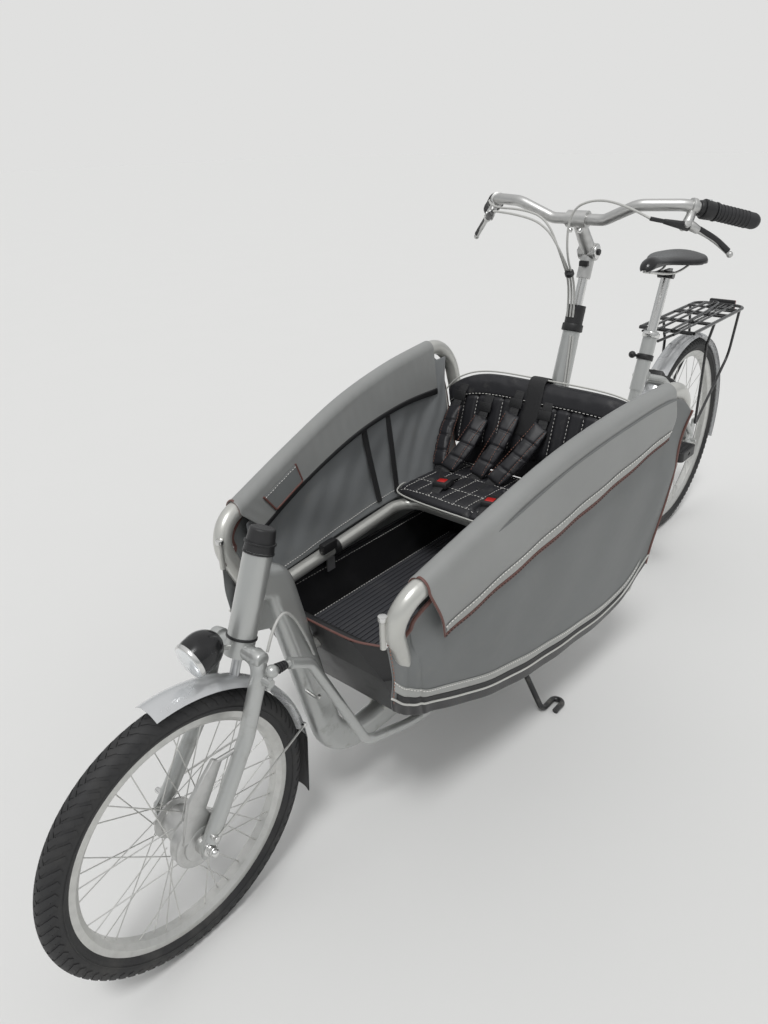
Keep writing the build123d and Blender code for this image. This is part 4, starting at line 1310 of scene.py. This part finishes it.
def addLock():
    stay, across, radius = Vector(rear["stayLine"]), Vector(rear["acrossLine"]), rear["lockRadius"]
    middle = Vector(rear["lockAt"]) + across * rear["lockLift"]
    turns = [radians(a) for a in spaced(-rear["lockSweep"], rear["lockSweep"], 24)]
    arc = [middle - stay * (radius * cos(a)) + Vector((0, radius * sin(a), 0)) for a in turns]
    top = middle - stay * 0.052
    lock = [tube(arc, rear["lockThick"], 4, 16),
            blockAt(top, rear["lockBlock"], 0.005, (0, radians(-36), 0))]
    settle(lock, "ringLock", "black_plastic", "black_steel")
    collar = rodBetween(top + across * 0.0135, top + across * 0.0165, 0.009, rim=0.001)
    settle(collar, "lockCap", "silver_alloy")


def addPedal(name):
    low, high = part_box(name)
    middle = (Vector(low) + Vector(high)) / 2
    length = high[0] - low[0]
    glass = [blockAt((middle.x + end * (length / 2 + 0.0008), middle.y, middle.z), rear["glass"], 0.0008)
             for end in (-1, 1)]
    settle(glass, name + "Reflectors", "red_lens", body=name)
    treads = [blockAt((x, middle.y, face), (0.005, high[1] - low[1] - 0.014, 0.0028), 0.0009)
              for x in spaced(low[0] + rear["treadIn"], high[0] - rear["treadIn"], rear["treads"] - 1)
              for face in (low[2] - 0.0006, high[2] + 0.0006)]
    settle(treads, name + "Treads", "grip_rubber", body=name)


def addRear():
    addSaddle()
    bolt = [on(seatAxis, 0.026, y, 0.470) for y in (-0.011, 0.011)]
    band = [ringOn(seatAxis, 0.463, 0.4775, 0.0238, None, 0.0015, 44),
            rodBetween(*bolt, 0.0050, rim=0.0008)]
    settle(band, "seatBand", "polished_alloy")
    end = on(seatAxis, *rear["knobAt"])
    knob = [ringOn(seatAxis, 0.399, 0.415, 0.0232, None, 0.0015, 44),
            rodBetween(on(seatAxis, 0, -0.006, 0.407), end, 0.004), ballAt(end, 0.0100)]
    settle(knob, "seatKnob", "black_plastic")
    addLock()
    for name in ("pedal_left", "pedal_right"):
        addPedal(name)


addRear()
print("saddle, lock, clamps and pedals")


# Tub: ribbed mat, bound front and side edges, stitch rows, sleeve on the cross tube, rings of the sockets
tub = {"apron": [(0.716, 0.172, 0.501), (0.733, 0.138, 0.502), (0.7425, 0.110, 0.502),
                 (0.744, 0.055, 0.502),
                 (0.744, 0.0, 0.502)],
       "apronRadius": 0.0021, "rimY": 0.2036, "rimZ": 0.4285, "rimRadius": 0.0030, "ribs": 30,
       "floorRows": (0.189, 0.1955), "sleeve": [(0.690, -0.186, 0.441), (0.690, 0.186, 0.441)],
       "socket": (0.762, 0.197, 0.590), "socketBlock": (0.752, 0.199, 0.548),
       "block": (0.020, 0.010, 0.016),
       "rimStitch": (0.0048, 0.0036, 0.0006), "floorStitch": (0.0048, 0.0036, 0.0007)}


def addTub():
    low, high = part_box("floor_mat")
    pitch = (high[1] - low[1] - 0.006) / tub["ribs"]
    rib = blockAt(((low[0] + high[0]) / 2, low[1] + 0.003 + pitch / 2, high[2] + 0.0004),
                  (high[0] - low[0] - 0.010, pitch * 0.52, 0.0050), 0.0012)
    modify(rib, "ARRAY", count=tub["ribs"], use_relative_offset=False, use_constant_offset=True,
           constant_offset_displace=(0, pitch, 0))
    settle(rib, "matRibs", "rib_mat")
    apron = tub["apron"] + [mirrored(spot, -1) for spot in tub["apron"][-2::-1]]
    settle(tube(apron, tub["apronRadius"], 8, 12), "apronBinding", "brown_binding", "black_vinyl")
    seams = []
    for hand, name in hands:
        rim = [(x, hand * tub["rimY"], tub["rimZ"]) for x in spaced(0.010, 0.630, 30)]
        inside = [Vector(spot) + Vector((0, -hand * 0.0045, -0.012)) for spot in rim]
        seams.append(stitched(inside, *tub["rimStitch"]))
        settle(tube(rim[::6], tub["rimRadius"]), "rimBinding_" + name, "black_vinyl")
        for y in tub["floorRows"]:
            line = [(x, hand * y, low[2] + 0.0014) for x in spaced(0.060, 0.600, 40)]
            seams.append(stitched(line, *tub["floorStitch"]))
    settle(seams, "tubStitches", "white_thread", "black_vinyl")
    settle(rodBetween(*tub["sleeve"], 0.0153, rim=0.001), "crossSleeve", "black_vinyl")
    rings = []
    for hand in (1, -1):
        socket = mirrored(tub["socket"], hand)
        rings.append(rodBetween(socket, socket + Vector((0, 0, 0.0085)), 0.0078, rim=0.001))
        rings.append(blockAt(mirrored(tub["socketBlock"], hand), tub["block"], 0.002))
    settle(rings, "socketRings", "polished_alloy")


addTub()
print("tub bound, stitched and floored")


# Small fittings: rings of the head tube, peg of the beam, clip of the cables, rods of the rack, rear lamp
fittings = {"capLift": (0.006, 0.022), "rackTop": 0.720, "rackIn": 0.030,
            "rackRods": (-0.046, -0.018, 0.018, 0.046), "rackBars": (0.12, 0.36, 0.62, 0.88),
            "rackHalf": 0.078, "lens": 0.0084,
            "clip": [(-0.1180, 0.0035, 0.9700), (-0.1235, 0.0035, 0.9620)],
            "peg": [(0.775, 0.020, 0.372), (0.775, 0.040, 0.369), (0.775, 0.053, 0.370),
                    (0.775, 0.055, 0.379)]}


def addRack():
    low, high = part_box("rear_rack")
    x0, x1, z = low[0] + fittings["rackIn"], high[0] - fittings["rackIn"], fittings["rackTop"]
    half = fittings["rackHalf"]
    rods = [tube([(x1, y, z), ((x0 + x1) / 2, y, z + 0.0015), (x0, y, z)], 0.0034, 6, 10)
            for y in fittings["rackRods"]]
    for share in fittings["rackBars"]:
        x = x0 + (x1 - x0) * share
        rods.append(rodBetween((x, -half, z - 0.001), (x, half, z - 0.001), 0.0038, turns=16))
    spring = [(x1 - 0.020, -0.030, z + 0.009), (x0 + 0.060, -0.026, z + 0.013),
              (x0 + 0.030, 0.0, z + 0.014),
              (x0 + 0.060, 0.026, z + 0.013), (x1 - 0.020, 0.030, z + 0.009)]
    rods.append(tube(spring, 0.0032, 10, 12))
    settle(rods, "rackRods", "black_steel")


def addFittings():
    cap = (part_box("head_cap")[0][2] - headAxis[1]) / sin(radians(headAxis[2]))
    rings = [ringOn(headAxis, -0.0012, 0.0035, 0.0258, None, 0.001, 44)]
    rings += [ringOn(headAxis, cap + w, cap + w + 0.003, 0.0262, None, 0.001, 44)
              for w in fittings["capLift"]]
    settle(rings, "headRings", "black_plastic")
    clip = rodBetween(*fittings["clip"], 0.0105, rim=0.0015, turns=24)
    settle(clip, "cableClip", "black_plastic", body="handlebar")
    settle(tube(fittings["peg"], 0.0030, 6), "beamPeg", "zinc_wire")
    addRack()
    low, high = (Vector(corner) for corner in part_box("rear_lamp"))
    middle, size = (low + high) / 2, high - low
    shell = blockAt(middle + Vector((0.0035, 0, 0)), (size.x - 0.007, size.y, size.z), 0.004)
    settle(shell, "rearLampShell", "black_plastic", "red_lens", replaced=["rear_lamp"])
    lens = blockAt((low.x + fittings["lens"] / 2, middle.y, middle.z),
                   (fittings["lens"], size.y - 0.003, size.z - 0.003), 0.003)
    settle(lens, "rearLampLens", "red_lens")


addFittings()
print("small fittings")
